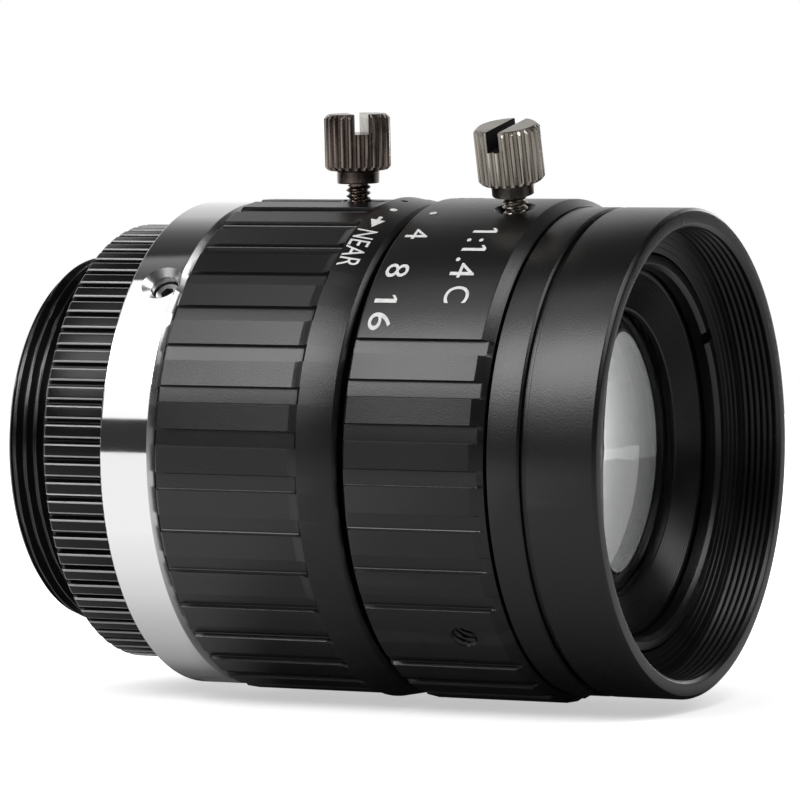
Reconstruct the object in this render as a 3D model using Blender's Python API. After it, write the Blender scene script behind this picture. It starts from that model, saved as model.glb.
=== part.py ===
"""C-mount lens with a focus ring, an iris ring with six blades, and two lock screws.

The optical axis is +X, towards the subject, and +Z is up. The origin is on the axis, at
the rear face of the knurled ring, which seats on a camera. Angles round the axis are
counted from the top towards -Y, which is also the right-hand turn about +X.
"""
import math

import bmesh
import bpy
from mathutils import Matrix, Vector

MM = 0.001

# Clearances
SEAM = 0.20 * MM            # between neighbouring outer rings
FIT = 0.15 * MM             # radial play of parts that screw, slide or turn in each other
SEAT = 0.20 * MM            # along the axis, between parts that seat on each other
PIN_FIT = 0.08 * MM         # round a pin in its hole or slot
HOLE_FIT = 0.10 * MM        # round a screw in its hole
CUT_OVERRUN = 1.0 * MM      # how far a cutter passes the faces that it opens

# Number of straight sides round a turned part
OUTER_SIDES = 36
INNER_SIDES = 24
GLASS_SIDES = 16
SCREW_SIDES = 12
PIN_SIDES = 8

# Camera thread and knurled ring, in one piece
THREAD_RADIUS = 12.70 * MM
THREAD_LENGTH = 4.15 * MM
THREAD_CHAMFER = 0.45 * MM
THREAD_RELIEF_DEPTH = 0.60 * MM
THREAD_RELIEF_LENGTH = 0.70 * MM
THREAD_UNDERCUT_WIDTH = 0.15 * MM   # from the thread out to the face that seats on the camera
THREAD_UNDERCUT_DEPTH = 0.20 * MM   # of that face's sunk inner edge
THREAD_WALL = 1.80 * MM
KNURL_HEIGHT = 2.35 * MM    # from the thread to the tips of the knurl
KNURL_LENGTH = 5.05 * MM
KNURL_DEPTH = 0.35 * MM
KNURL_TEETH = 72
KNURL_LAND_SHARE = 0.66
SOCKET_FLOOR = 1.00 * MM

# Bright mount ring, clamped on the fixed barrel by three headless screws
MOUNT_RING_LENGTH = 4.03 * MM
MOUNT_RING_WALL = 2.30 * MM
MOUNT_RING_REAR_CHAMFER = 0.15 * MM
MOUNT_RING_FRONT_CHAMFER = 0.40 * MM
CLAMP_COUNT = 3
CLAMP_FIRST_ANGLE = math.radians(47.0)
CLAMP_FROM_FRONT = 1.60 * MM
CLAMP_SCREW_RADIUS = 0.85 * MM
CLAMP_SCREW_LENGTH = 1.20 * MM
CLAMP_SOCKET_RADIUS = 0.50 * MM
CLAMP_SOCKET_DEPTH = 0.60 * MM
CLAMP_SINK_RADIUS = 1.45 * MM
CLAMP_SINK_DEPTH = 0.45 * MM

# Fixed barrel, and the optics sleeve that slides in it
SLEEVE_REAR_STEP = 1.40 * MM     # from the adapter's bore out to the sleeve's rear bore
SLEEVE_REAR_WALL = 1.15 * MM
SLEEVE_FRONT_STEP = 1.25 * MM    # from the rear bore out to the front bore
SLEEVE_FRONT_WALL = 0.95 * MM
SLEEVE_FRONT_SPIGOT = 1.05 * MM
BARREL_WALL = 1.40 * MM
BARREL_FLANGE_WALL = 0.60 * MM
BARREL_TUBE_LENGTH = 8.70 * MM
BARREL_FLOOR = 2.80 * MM         # thickness of the wall behind the sleeve
SLEEVE_REAR_PLAY = 0.60 * MM
HELICOID_PLAY = 0.20 * MM
HELICOID_REAR_PLAY = 0.80 * MM
IRIS_SEAT_DEPTH = 0.90 * MM      # of the iris seat behind the iris ring

# Focus movement: the ring turns, and its thread moves the sleeve along
FOCUS_TO_FAR = math.radians(15.0)
FOCUS_TO_NEAR = math.radians(135.0)
FOCUS_LEAD = 5.40 * MM           # travel of the sleeve for one turn of the ring
KEY_ANGLE = math.radians(180.0)
KEY_WIDTH = 1.50 * MM
KEY_LENGTH = 2.40 * MM
KEY_DEPTH = 0.55 * MM
KEY_FROM_REAR = 3.60 * MM
STOP_ANGLE = math.radians(231.0)
STOP_RADIUS = 0.45 * MM
STOP_SUNK = 0.40 * MM
STOP_GROOVE_DEPTH = 0.70 * MM
STOP_FROM_REAR = 4.40 * MM
SNAP_RING_THICKNESS = 0.70 * MM
SNAP_RING_WIDTH = 0.80 * MM
SNAP_RING_DEPTH = 0.45 * MM
SNAP_RING_OPENING = math.radians(24.0)
SNAP_RING_FROM_REAR = 1.60 * MM

# Focus ring and its grip: straight ridges with a milled flat between each two
FOCUS_RING_LENGTH = 13.40 * MM
FOCUS_RING_WALL = 1.90 * MM
FOCUS_FRONT_LENGTH = 2.70 * MM
FOCUS_TAPER = 0.43 * MM
RIDGE_COUNT = 36
RIDGE_SHARE = 0.36
FLANK_SHARE = 0.03
FLAT_DEPTH = 0.20 * MM
EDGE_CHAMFER = 0.30 * MM
REAR_RAMP = 0.25 * MM
FRONT_RAMP = 0.60 * MM
FOCUS_FIRST_RIDGE = math.radians(6.0)

# Iris ring, smooth where it is lettered
RING_GAP = 0.60 * MM
IRIS_RING_LENGTH = 10.05 * MM
IRIS_RING_WALL = 2.33 * MM
IRIS_BEVEL_LENGTH = 0.88 * MM
IRIS_BEVEL_DROP = 0.50 * MM
IRIS_FIRST_RIDGE = math.radians(3.8)
LETTERED_FROM = math.radians(-61.0)
LETTERED_TO = math.radians(62.0)
SPARE_HOLE_ANGLE = math.radians(133.8)
SPARE_HOLE_RADIUS = 0.85 * MM
SPARE_HOLE_FROM_FRONT = 3.40 * MM

# Iris diaphragm
BLADE_COUNT = 6
BLADE_PIVOT_MARGIN = 0.95 * MM   # from the sleeve's bore in to the circle of the pivots
BLADE_PIN_MARGIN = 0.85 * MM     # from the circle of the pivots in to the blades' edge
BLADE_WIDTH = 4.65 * MM
BLADE_HIDDEN = 0.20 * MM         # of an open blade behind the fixed aperture's edge
SMALLEST_APERTURE = 0.58 * MM
BLADE_SPAN = math.radians(112.0)
BLADE_BACK = math.radians(4.0)
BLADE_THICKNESS = 0.10 * MM
BLADE_PITCH = 0.22 * MM
BLADE_FIRST_ANGLE = math.radians(10.0)
BLADE_EAR_RADIUS = 0.60 * MM
BLADE_PIN_RADIUS = 0.30 * MM
BLADE_PIN_SPREAD = math.radians(12.0)
IRIS_TURN = math.radians(48.0)
IRIS_BASE_THICKNESS = 0.70 * MM
CAM_RING_THICKNESS = 0.80 * MM
CAM_RING_WIDTH = 3.40 * MM
CAM_SLOT_STEPS = 6
DRIVE_PIN_RADIUS = 0.34 * MM
DRIVE_PIN_SUNK = 0.80 * MM
DRIVE_NOTCH_DEPTH = 0.95 * MM
DRIVE_NOTCH_INDEX = 3

# Front barrel with the filter thread's bore, and what it holds
FRONT_BARREL_LENGTH = 7.69 * MM
FRONT_BARREL_WALL = 1.78 * MM
GROOVE_FROM_REAR = 2.25 * MM
GROOVE_WIDTH = 0.50 * MM
GROOVE_DEPTH = 0.45 * MM
RIM_WALL = 1.05 * MM
RIM_CHAMFER = 0.30 * MM
FILTER_STEP = 0.23 * MM
FILTER_DEPTH = 2.83 * MM
HOOD_FACE_SLOPE = 0.43 * MM
HOOD_STEP = 1.22 * MM            # from the rear bore in to the front bore
RETAINER_WIDTH = 0.90 * MM
RETAINER_CLEAR = 0.08 * MM       # behind the hood's sloping face
NOTCH_WIDTH = 0.90 * MM
NOTCH_DEPTH = 0.50 * MM
NOTCH_ANGLE = math.radians(126.0)
BAFFLE_LENGTH = 1.14 * MM
BAFFLE_OVERLAP = 0.85 * MM       # of the front glass's edge
BAFFLE_LIP = 0.30 * MM
BAFFLE_GROOVED = 0.75 * MM
BAFFLE_GROOVED_RISE = 0.24 * MM
CELL_FLANGE = 0.50 * MM

# Lens elements: a bulge is how far a face stands out of its rim, and below 0 it is hollow
GLASS_FIT = 0.15 * MM
FRONT_CELL_WALL = 2.85 * MM
FRONT_CELL_STEP = 0.80 * MM      # from each front glass's radius in to the next one's
CELL_LIP = 0.50 * MM
CELL_LIP_WIDTH = 0.80 * MM
FRONT_GLASS_SUNK = 0.35 * MM
FRONT_GLASS_RIM = 1.90 * MM
FRONT_GLASS_BULGE = 1.68 * MM
FRONT_GLASS_HOLLOW = 0.60 * MM
SECOND_GLASS_RIM = 1.10 * MM
SECOND_GLASS_BULGE = 2.45 * MM
SECOND_GLASS_HOLLOW = 1.04 * MM
THIRD_GLASS_RIM = 2.70 * MM
THIRD_GLASS_BULGE = 0.65 * MM
THIRD_GLASS_HOLLOW = 2.30 * MM
RIM_GAP = 0.30 * MM
DOUBLET_STEP = 0.40 * MM         # from the sixth glass's radius in to the doublet's
DOUBLET_FRONT_RIM = 4.95 * MM
DOUBLET_FRONT_HOLLOW = 2.60 * MM
DOUBLET_CEMENTED = 1.38 * MM
CEMENT_LINE = 0.10 * MM
DOUBLET_REAR_RIM = 0.40 * MM
DOUBLET_REAR_BULGE = 2.26 * MM
SIXTH_GLASS_STEP = 0.20 * MM     # from the rear glass's radius in to the sixth's
SIXTH_GLASS_RIM = 0.60 * MM
SIXTH_GLASS_FRONT_BULGE = 0.94 * MM
SIXTH_GLASS_REAR_BULGE = 1.59 * MM
REAR_GLASS_RIM = 1.48 * MM
REAR_GLASS_BULGE = 1.32 * MM
AIR_AT_AXIS = 0.50 * MM          # between the faces of two elements, on the axis
SPACER_WIDTH = 0.50 * MM
REAR_RETAINER_LENGTH = 0.90 * MM
REAR_RETAINER_WIDTH = 1.00 * MM
TAIL_FIT = 0.45 * MM
TAIL_WALL = 1.50 * MM
TAIL_OVERHANG = 0.35 * MM

# Lock screws
LOCK_HEAD_RADIUS = 2.25 * MM
LOCK_HEAD_LENGTH = 3.85 * MM
LOCK_HEAD_CHAMFER = 0.25 * MM
LOCK_FLUTES = 24
LOCK_FLUTE_DEPTH = 0.20 * MM
LOCK_COLLAR_RADIUS = 1.45 * MM
LOCK_COLLAR_LENGTH = 0.90 * MM
LOCK_COLLAR_GAP = 0.95 * MM      # from the ring to the collar, screw tightened
LOCK_SHANK_RADIUS = 0.85 * MM
LOCK_SINK_RADIUS = 1.20 * MM
LOCK_SINK_DEPTH = 0.35 * MM
LOCK_SLOT_WIDTH = 0.95 * MM
LOCK_SLOT_DEPTH = 1.35 * MM
FOCUS_LOCK_ANGLE = math.radians(2.8)
FOCUS_LOCK_FROM_REAR = 7.40 * MM
FOCUS_LOCK_SLOT_TURN = math.radians(130.0)
IRIS_LOCK_ANGLE = math.radians(15.0)
IRIS_LOCK_FROM_FRONT = 3.25 * MM
IRIS_LOCK_SLOT_TURN = math.radians(84.0)

# Places along the axis, from the camera to the front
MOUNT_RING_REAR = KNURL_LENGTH + SEAT
MOUNT_RING_FRONT = MOUNT_RING_REAR + MOUNT_RING_LENGTH
FOCUS_RING_REAR = MOUNT_RING_FRONT + SEAM
FOCUS_RING_FRONT = FOCUS_RING_REAR + FOCUS_RING_LENGTH
IRIS_RING_REAR = FOCUS_RING_FRONT + RING_GAP
IRIS_RING_FRONT = IRIS_RING_REAR + IRIS_RING_LENGTH
FRONT_BARREL_REAR = IRIS_RING_FRONT + SEAM
FRONT_BARREL_FRONT = FRONT_BARREL_REAR + FRONT_BARREL_LENGTH

BARREL_INNER_STEP = MOUNT_RING_REAR + BARREL_FLOOR
BARREL_FRONT = FOCUS_RING_REAR + BARREL_TUBE_LENGTH
SLEEVE_REAR = BARREL_INNER_STEP + SLEEVE_REAR_PLAY
HELICOID_REAR = BARREL_FRONT + HELICOID_REAR_PLAY
HELICOID_FRONT = IRIS_RING_REAR - SEAT
IRIS_SEAT = IRIS_RING_REAR - IRIS_SEAT_DEPTH
SLEEVE_FRONT = FRONT_BARREL_REAR + SLEEVE_FRONT_SPIGOT
CLAMP_X = MOUNT_RING_FRONT - CLAMP_FROM_FRONT
STOP_X = FOCUS_RING_REAR + STOP_FROM_REAR
KEY_REAR = FOCUS_RING_REAR + KEY_FROM_REAR
KEY_FRONT = KEY_REAR + KEY_LENGTH
SNAP_RING_REAR = FOCUS_RING_REAR + SNAP_RING_FROM_REAR
SNAP_RING_FRONT = SNAP_RING_REAR + SNAP_RING_THICKNESS
FOCUS_LOCK_X = FOCUS_RING_REAR + FOCUS_LOCK_FROM_REAR
IRIS_LOCK_X = IRIS_RING_FRONT - IRIS_LOCK_FROM_FRONT
SPARE_HOLE_X = IRIS_RING_FRONT - SPARE_HOLE_FROM_FRONT

IRIS_BASE_REAR = IRIS_SEAT + SEAT
IRIS_BASE_FRONT = IRIS_BASE_REAR + IRIS_BASE_THICKNESS
BLADES_REAR = IRIS_BASE_FRONT + SEAT
BLADES_FRONT = BLADES_REAR + (BLADE_COUNT - 1) * BLADE_PITCH + BLADE_THICKNESS
CAM_RING_REAR = BLADES_FRONT + SEAT
CAM_RING_FRONT = CAM_RING_REAR + CAM_RING_THICKNESS
FRONT_CELL_REAR = CAM_RING_FRONT + SEAT
CAM_RING_MIDDLE = (CAM_RING_REAR + CAM_RING_FRONT) / 2

CELL_FLANGE_REAR = SLEEVE_FRONT + SEAT
FRONT_CELL_FRONT = CELL_FLANGE_REAR + CELL_FLANGE
FRONT_SHOULDER = FRONT_CELL_FRONT + SEAT
BAFFLE_REAR = FRONT_SHOULDER
BAFFLE_FRONT = BAFFLE_REAR + BAFFLE_LENGTH
FILTER_FLOOR = FRONT_BARREL_FRONT - FILTER_DEPTH
HOOD_FACE_REAR = FILTER_FLOOR - HOOD_FACE_SLOPE
RETAINER_REAR = BAFFLE_FRONT + SEAT
RETAINER_FRONT = HOOD_FACE_REAR - RETAINER_CLEAR

FRONT_GLASS_FRONT = FRONT_CELL_FRONT - FRONT_GLASS_SUNK
FRONT_GLASS_REAR = FRONT_GLASS_FRONT - FRONT_GLASS_RIM
FRONT_GLASS_SEAT = FRONT_GLASS_REAR - SEAT
THIRD_GLASS_REAR = FRONT_CELL_REAR + CELL_LIP + SEAT
THIRD_GLASS_FRONT = THIRD_GLASS_REAR + THIRD_GLASS_RIM
SECOND_GLASS_REAR = THIRD_GLASS_FRONT + RIM_GAP
SECOND_GLASS_SEAT = SECOND_GLASS_REAR - SEAT
SECOND_GLASS_FRONT = SECOND_GLASS_REAR + SECOND_GLASS_RIM

REAR_CELL_FRONT = IRIS_SEAT - SEAT
DOUBLET_FRONT = REAR_CELL_FRONT - CELL_LIP - SEAT
DOUBLET_MIDDLE = DOUBLET_FRONT - DOUBLET_FRONT_RIM
DOUBLET_REAR_FRONT = DOUBLET_MIDDLE - CEMENT_LINE
DOUBLET_REAR = DOUBLET_REAR_FRONT - DOUBLET_REAR_RIM
SIXTH_GLASS_FRONT = DOUBLET_REAR - DOUBLET_REAR_BULGE - AIR_AT_AXIS - SIXTH_GLASS_FRONT_BULGE
SIXTH_GLASS_REAR = SIXTH_GLASS_FRONT - SIXTH_GLASS_RIM
SIXTH_GLASS_SEAT = SIXTH_GLASS_FRONT + SEAT
REAR_GLASS_FRONT = SIXTH_GLASS_REAR - SIXTH_GLASS_REAR_BULGE - AIR_AT_AXIS - REAR_GLASS_BULGE
REAR_GLASS_SEAT = REAR_GLASS_FRONT + SEAT
REAR_GLASS_REAR = REAR_GLASS_FRONT - REAR_GLASS_RIM
REAR_RETAINER_FRONT = REAR_GLASS_REAR - SEAT
REAR_RETAINER_REAR = REAR_RETAINER_FRONT - REAR_RETAINER_LENGTH
REAR_CELL_REAR = REAR_RETAINER_REAR - TAIL_OVERHANG
REAR_CELL_SHOULDER = SLEEVE_REAR + SEAT

# Radii
ADAPTER_BORE = THREAD_RADIUS - THREAD_WALL
KNURL_RADIUS = THREAD_RADIUS + KNURL_HEIGHT
SOCKET_RADIUS = THREAD_RADIUS
BARREL_SPIGOT_RADIUS = SOCKET_RADIUS - FIT
SLEEVE_REAR_BORE = ADAPTER_BORE + SLEEVE_REAR_STEP
SLEEVE_REAR_RADIUS = SLEEVE_REAR_BORE + SLEEVE_REAR_WALL
SLEEVE_FRONT_BORE = SLEEVE_REAR_BORE + SLEEVE_FRONT_STEP
BARREL_BORE = SLEEVE_REAR_RADIUS + FIT
BARREL_RADIUS = BARREL_BORE + BARREL_WALL
BARREL_FLANGE_RADIUS = BARREL_BORE + BARREL_FLANGE_WALL
MOUNT_RING_BORE = BARREL_FLANGE_RADIUS + FIT
MOUNT_RING_RADIUS = MOUNT_RING_BORE + MOUNT_RING_WALL
FOCUS_RING_BORE = BARREL_RADIUS + FIT
FOCUS_RING_RADIUS = FOCUS_RING_BORE + FOCUS_RING_WALL
HELICOID_RADIUS = FOCUS_RING_BORE - HELICOID_PLAY
BEARING_RADIUS = SLEEVE_FRONT_BORE + SLEEVE_FRONT_WALL
IRIS_RING_BORE = BEARING_RADIUS + FIT
IRIS_RING_RADIUS = IRIS_RING_BORE + IRIS_RING_WALL
FRONT_BARREL_BORE = BEARING_RADIUS + FIT
FRONT_BARREL_RADIUS = FRONT_BARREL_BORE + FRONT_BARREL_WALL
RIM_INNER_RADIUS = FRONT_BARREL_RADIUS - RIM_WALL
FILTER_RADIUS = RIM_INNER_RADIUS - FILTER_STEP
HOOD_BORE = FRONT_BARREL_BORE - HOOD_STEP
RETAINER_RADIUS = HOOD_BORE - FIT
RETAINER_BORE = RETAINER_RADIUS - RETAINER_WIDTH
IRIS_PART_RADIUS = SLEEVE_FRONT_BORE - FIT
PIVOT_RADIUS = SLEEVE_FRONT_BORE - BLADE_PIVOT_MARGIN
BLADE_OUTER_RADIUS = PIVOT_RADIUS - BLADE_PIN_MARGIN
BLADE_INNER_RADIUS = BLADE_OUTER_RADIUS - BLADE_WIDTH
STOP_APERTURE = BLADE_INNER_RADIUS - BLADE_HIDDEN
REAR_CELL_RADIUS = SLEEVE_REAR_BORE - FIT
TAIL_RADIUS = ADAPTER_BORE - TAIL_FIT
REAR_GLASS_RADIUS = TAIL_RADIUS - TAIL_WALL - GLASS_FIT
SIXTH_GLASS_RADIUS = REAR_GLASS_RADIUS - SIXTH_GLASS_STEP
DOUBLET_RADIUS = SIXTH_GLASS_RADIUS - DOUBLET_STEP
FRONT_GLASS_RADIUS = IRIS_PART_RADIUS - FRONT_CELL_WALL - GLASS_FIT
SECOND_GLASS_RADIUS = FRONT_GLASS_RADIUS - FRONT_CELL_STEP
THIRD_GLASS_RADIUS = SECOND_GLASS_RADIUS - FRONT_CELL_STEP
BAFFLE_BORE = FRONT_GLASS_RADIUS - BAFFLE_OVERLAP
SNAP_GROOVE_FLOOR = BARREL_RADIUS - SNAP_RING_DEPTH
SNAP_RING_INNER = SNAP_GROOVE_FLOOR + FIT
SNAP_RING_OUTER = SNAP_RING_INNER + SNAP_RING_WIDTH

# A blade turns about its pivot until its inner edge leaves the smallest aperture
BLADE_TURN = 2 * math.asin((BLADE_INNER_RADIUS - SMALLEST_APERTURE) / (2 * PIVOT_RADIUS))


def polar(x, radius, angle):
    """A point at x along the axis, at an angle counted from the top towards -Y."""
    return Vector((x, -radius * math.sin(angle), radius * math.cos(angle)))


def even_angles(sides):
    """The angles of the corners of a round with this many straight sides."""
    return [2 * math.pi * step / sides for step in range(sides)]


def add_object(name, mesh_data, material=None):
    """Link a finished bmesh to the scene as one object, shaded smooth between its edges."""
    bmesh.ops.recalc_face_normals(mesh_data, faces=mesh_data.faces)
    mesh = bpy.data.meshes.new(name)
    mesh_data.to_mesh(mesh)
    mesh_data.free()
    mesh.shade_smooth()
    mesh.set_sharp_from_angle(angle=math.radians(30.0))
    obj = bpy.data.objects.new(name, mesh)
    bpy.context.scene.collection.objects.link(obj)
    if material:
        mesh.materials.append(material)
    return obj


def add_turned(target, sections, angles, closed):
    """Add rings of points to a bmesh and skin them.

    Each section is its place along the axis and its radius, or a list of radii, one for
    each angle. A closed skin joins the last section to the first, and an open one has a
    flat end, or a point where its radius is 0.
    """
    rings = []
    for x, radius in sections:
        if radius == 0:
            rings.append([target.verts.new((x, 0, 0))])
            continue
        radii = radius if isinstance(radius, list) else [radius] * len(angles)
        rings.append([target.verts.new(polar(x, r, a)) for r, a in zip(radii, angles)])
    pairs = list(zip(rings, rings[1:]))
    if closed:
        pairs.append((rings[-1], rings[0]))
    for first, second in pairs:
        skin_between(target, first, second)
    if not closed:
        for ring in (rings[0], rings[-1]):
            if len(ring) > 1:
                target.faces.new(ring)


def skin_between(target, first, second):
    """Join two rings of points with faces, or a ring with a single point."""
    count = max(len(first), len(second))
    for step in range(count):
        after = (step + 1) % count
        if len(first) == 1:
            target.faces.new((first[0], second[step], second[after]))
        elif len(second) == 1:
            target.faces.new((first[step], first[after], second[0]))
        else:
            target.faces.new((first[step], first[after], second[after], second[step]))


def turned(name, sections, sides, material=None, closed=True):
    """A part turned on a lathe, from its outline."""
    target = bmesh.new()
    add_turned(target, sections, even_angles(sides), closed)
    return add_object(name, target, material)


def lofted(name, sections, angles, material=None):
    """A solid with flat ends, from sections that each have their own radii."""
    target = bmesh.new()
    add_turned(target, sections, angles, closed=False)
    return add_object(name, target, material)


def add_prism(target, outline, x_from, x_to):
    """Add to a bmesh an outline of (y, z) points, drawn out along the axis."""
    rear = [target.verts.new((x_from, y, z)) for y, z in outline]
    front = [target.verts.new((x_to, y, z)) for y, z in outline]
    skin_between(target, rear, front)
    target.faces.new(rear)
    target.faces.new(front)


def prism(name, outline, x_from, x_to, material=None):
    """A flat part with this outline."""
    target = bmesh.new()
    add_prism(target, outline, x_from, x_to)
    return add_object(name, target, material)


def disc_outline(radius, angle, pin_radius, sides):
    """Corners of a small round whose centre is this far from the axis, at this angle."""
    centre = polar(0, radius, angle)
    corners = []
    for turn in even_angles(sides):
        corner = centre + polar(0, pin_radius, turn)
        corners.append((corner.y, corner.z))
    return corners


def arc_band(name, x_from, x_to, inner, outer, angle_from, angle_to, steps, material=None):
    """Part of a ring with a rectangular section, between two angles."""
    target = bmesh.new()
    rows = []
    for step in range(steps + 1):
        angle = angle_from + (angle_to - angle_from) * step / steps
        corners = ((x_from, inner), (x_to, inner), (x_to, outer), (x_from, outer))
        rows.append([target.verts.new(polar(x, r, angle)) for x, r in corners])
    for first, second in zip(rows, rows[1:]):
        skin_between(target, first, second)
    target.faces.new(rows[0])
    target.faces.new(rows[-1])
    return add_object(name, target, material)


def stand_outward(obj, x, radius, angle, spin=0.0):
    """Place a part made along +X so that it points straight out from the axis."""
    outward = polar(0, 1, angle)
    forward = Vector((1, 0, 0))
    side = outward.cross(forward)
    turn = Matrix((outward, side, outward.cross(side))).transposed()
    obj.rotation_euler = (turn @ Matrix.Rotation(spin, 3, "X")).to_euler()
    obj.location = polar(x, radius, angle)


def as_cutter(obj):
    """Hide a tool that only shapes another part."""
    obj.hide_render = True
    obj.display_type = "WIRE"
    return obj


def shape_with(obj, tool, operation="DIFFERENCE"):
    """Cut a part with a tool, or join the tool to it."""
    modifier = obj.modifiers.new(f"{operation.lower()} {tool.name}", "BOOLEAN")
    modifier.operation = operation
    modifier.solver = "EXACT"
    modifier.object = as_cutter(tool)


def radial_hole(obj, name, x, angle, radius, depth_from, depth_to, sink=0.0, sink_depth=0.0):
    """Drill a hole straight towards the axis, with a cone at its mouth if sink is given."""
    sections = [(depth_from, 0), (depth_from, radius)]
    if sink:
        slope = (sink - radius) / sink_depth
        sections.append((depth_to - sink_depth, radius))
        sections.append((depth_to + CUT_OVERRUN, sink + slope * CUT_OVERRUN))
        sections.append((depth_to + CUT_OVERRUN, 0))
    else:
        sections.append((depth_to + CUT_OVERRUN, radius))
        sections.append((depth_to + CUT_OVERRUN, 0))
    tool = turned(name, sections, SCREW_SIDES, closed=False)
    stand_outward(tool, x, 0, angle)
    shape_with(obj, tool)


def principled(name, colour, metallic, roughness):
    """A material with a Principled shader."""
    material = bpy.data.materials.new(name)
    material.use_nodes = True
    shader = material.node_tree.nodes["Principled BSDF"]
    shader.inputs["Base Color"].default_value = (*colour, 1.0)
    shader.inputs["Metallic"].default_value = metallic
    shader.inputs["Roughness"].default_value = roughness
    return material


def black_anodised(part):
    """Aluminium with a fine black satin finish."""
    return principled(f"{part} black anodised", (0.012, 0.012, 0.013), 0.5, 0.38)


def polished_metal(part):
    """Bright plated metal."""
    return principled(f"{part} polished", (0.80, 0.80, 0.81), 1.0, 0.10)


def blackened_brass(part):
    """Dark brown nickel on brass."""
    return principled(f"{part} dark nickel", (0.16, 0.14, 0.12), 1.0, 0.28)


def screw_steel(part):
    """Steel of the small screws and rings."""
    return principled(f"{part} steel", (0.42, 0.41, 0.40), 1.0, 0.30)


def matt_black(part):
    """Dull black inner parts, which keep stray light down."""
    return principled(f"{part} matt black", (0.008, 0.008, 0.008), 0.0, 0.75)


def coated_glass(part):
    """Optical glass."""
    material = principled(f"{part} glass", (0.96, 0.98, 0.97), 0.0, 0.02)
    shader = material.node_tree.nodes["Principled BSDF"]
    shader.inputs["Transmission Weight"].default_value = 1.0
    shader.inputs["IOR"].default_value = 1.6
    return material


def knurl_radii():
    """Radii of the knurl's corners: the two edges of a tooth, and the groove after it."""
    return [KNURL_RADIUS, KNURL_RADIUS, KNURL_RADIUS - KNURL_DEPTH] * KNURL_TEETH


def knurl_angles():
    """Angles of the knurl's corners, three for each tooth."""
    tooth = 2 * math.pi / KNURL_TEETH
    corners = (-KNURL_LAND_SHARE / 2, KNURL_LAND_SHARE / 2, 0.5)
    return [(index + corner) * tooth for index in range(KNURL_TEETH) for corner in corners]


def make_mount_adapter():
    """Male camera thread, with the knurled ring in front of it and a bore for the light."""
    sections = [(0.0, knurl_radii()), (KNURL_LENGTH, knurl_radii())]
    adapter = lofted("mount_adapter", sections, knurl_angles(), black_anodised("mount_adapter"))
    relief = THREAD_RADIUS - THREAD_RELIEF_DEPTH
    seat_inner = THREAD_RADIUS + THREAD_UNDERCUT_WIDTH
    undercut = turned(
        "thread_undercut",
        [
            (-CUT_OVERRUN, 0),
            (-CUT_OVERRUN, seat_inner),
            (0.0, seat_inner),
            (THREAD_UNDERCUT_DEPTH, relief),
            (THREAD_UNDERCUT_DEPTH, 0),
        ],
        OUTER_SIDES,
        closed=False,
    )
    shape_with(adapter, undercut)
    thread = turned(
        "thread_blank",
        [
            (-THREAD_LENGTH, 0),
            (-THREAD_LENGTH, THREAD_RADIUS - THREAD_CHAMFER),
            (-THREAD_LENGTH + THREAD_CHAMFER, THREAD_RADIUS),
            (-THREAD_RELIEF_LENGTH, THREAD_RADIUS),
            (-THREAD_RELIEF_LENGTH, relief),
            (SOCKET_FLOOR / 2, relief),
            (SOCKET_FLOOR / 2, 0),
        ],
        OUTER_SIDES,
        closed=False,
    )
    shape_with(adapter, thread, "UNION")
    bore = turned(
        "adapter_bore",
        [
            (-THREAD_LENGTH - CUT_OVERRUN, 0),
            (-THREAD_LENGTH - CUT_OVERRUN, ADAPTER_BORE),
            (SOCKET_FLOOR, ADAPTER_BORE),
            (SOCKET_FLOOR, SOCKET_RADIUS),
            (KNURL_LENGTH + CUT_OVERRUN, SOCKET_RADIUS),
            (KNURL_LENGTH + CUT_OVERRUN, 0),
        ],
        OUTER_SIDES,
        closed=False,
    )
    shape_with(adapter, bore)


def clamp_angles():
    """Angles of the screws that clamp the mount ring."""
    return [CLAMP_FIRST_ANGLE + turn for turn in even_angles(CLAMP_COUNT)]


def make_mount_ring():
    """Bright plain ring with three tapped holes towards the axis."""
    ring = turned(
        "mount_ring",
        [
            (MOUNT_RING_REAR, MOUNT_RING_BORE),
            (MOUNT_RING_REAR, MOUNT_RING_RADIUS - MOUNT_RING_REAR_CHAMFER),
            (MOUNT_RING_REAR + MOUNT_RING_REAR_CHAMFER, MOUNT_RING_RADIUS),
            (MOUNT_RING_FRONT - MOUNT_RING_FRONT_CHAMFER, MOUNT_RING_RADIUS),
            (MOUNT_RING_FRONT, MOUNT_RING_RADIUS - MOUNT_RING_FRONT_CHAMFER),
            (MOUNT_RING_FRONT, MOUNT_RING_BORE),
        ],
        OUTER_SIDES,
        polished_metal("mount_ring"),
    )
    for index, angle in enumerate(clamp_angles(), 1):
        radial_hole(
            ring,
            f"clamp_hole_{index}",
            CLAMP_X,
            angle,
            CLAMP_SCREW_RADIUS + HOLE_FIT,
            MOUNT_RING_BORE - CUT_OVERRUN,
            MOUNT_RING_RADIUS,
            CLAMP_SINK_RADIUS,
            CLAMP_SINK_DEPTH,
        )


def hexagon_radii(across_corners, angles):
    """Radii of a hexagon at these angles."""
    sixth = math.pi / 3
    return [
        across_corners * math.cos(sixth / 2) / math.cos(angle % sixth - sixth / 2)
        for angle in angles
    ]


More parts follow.
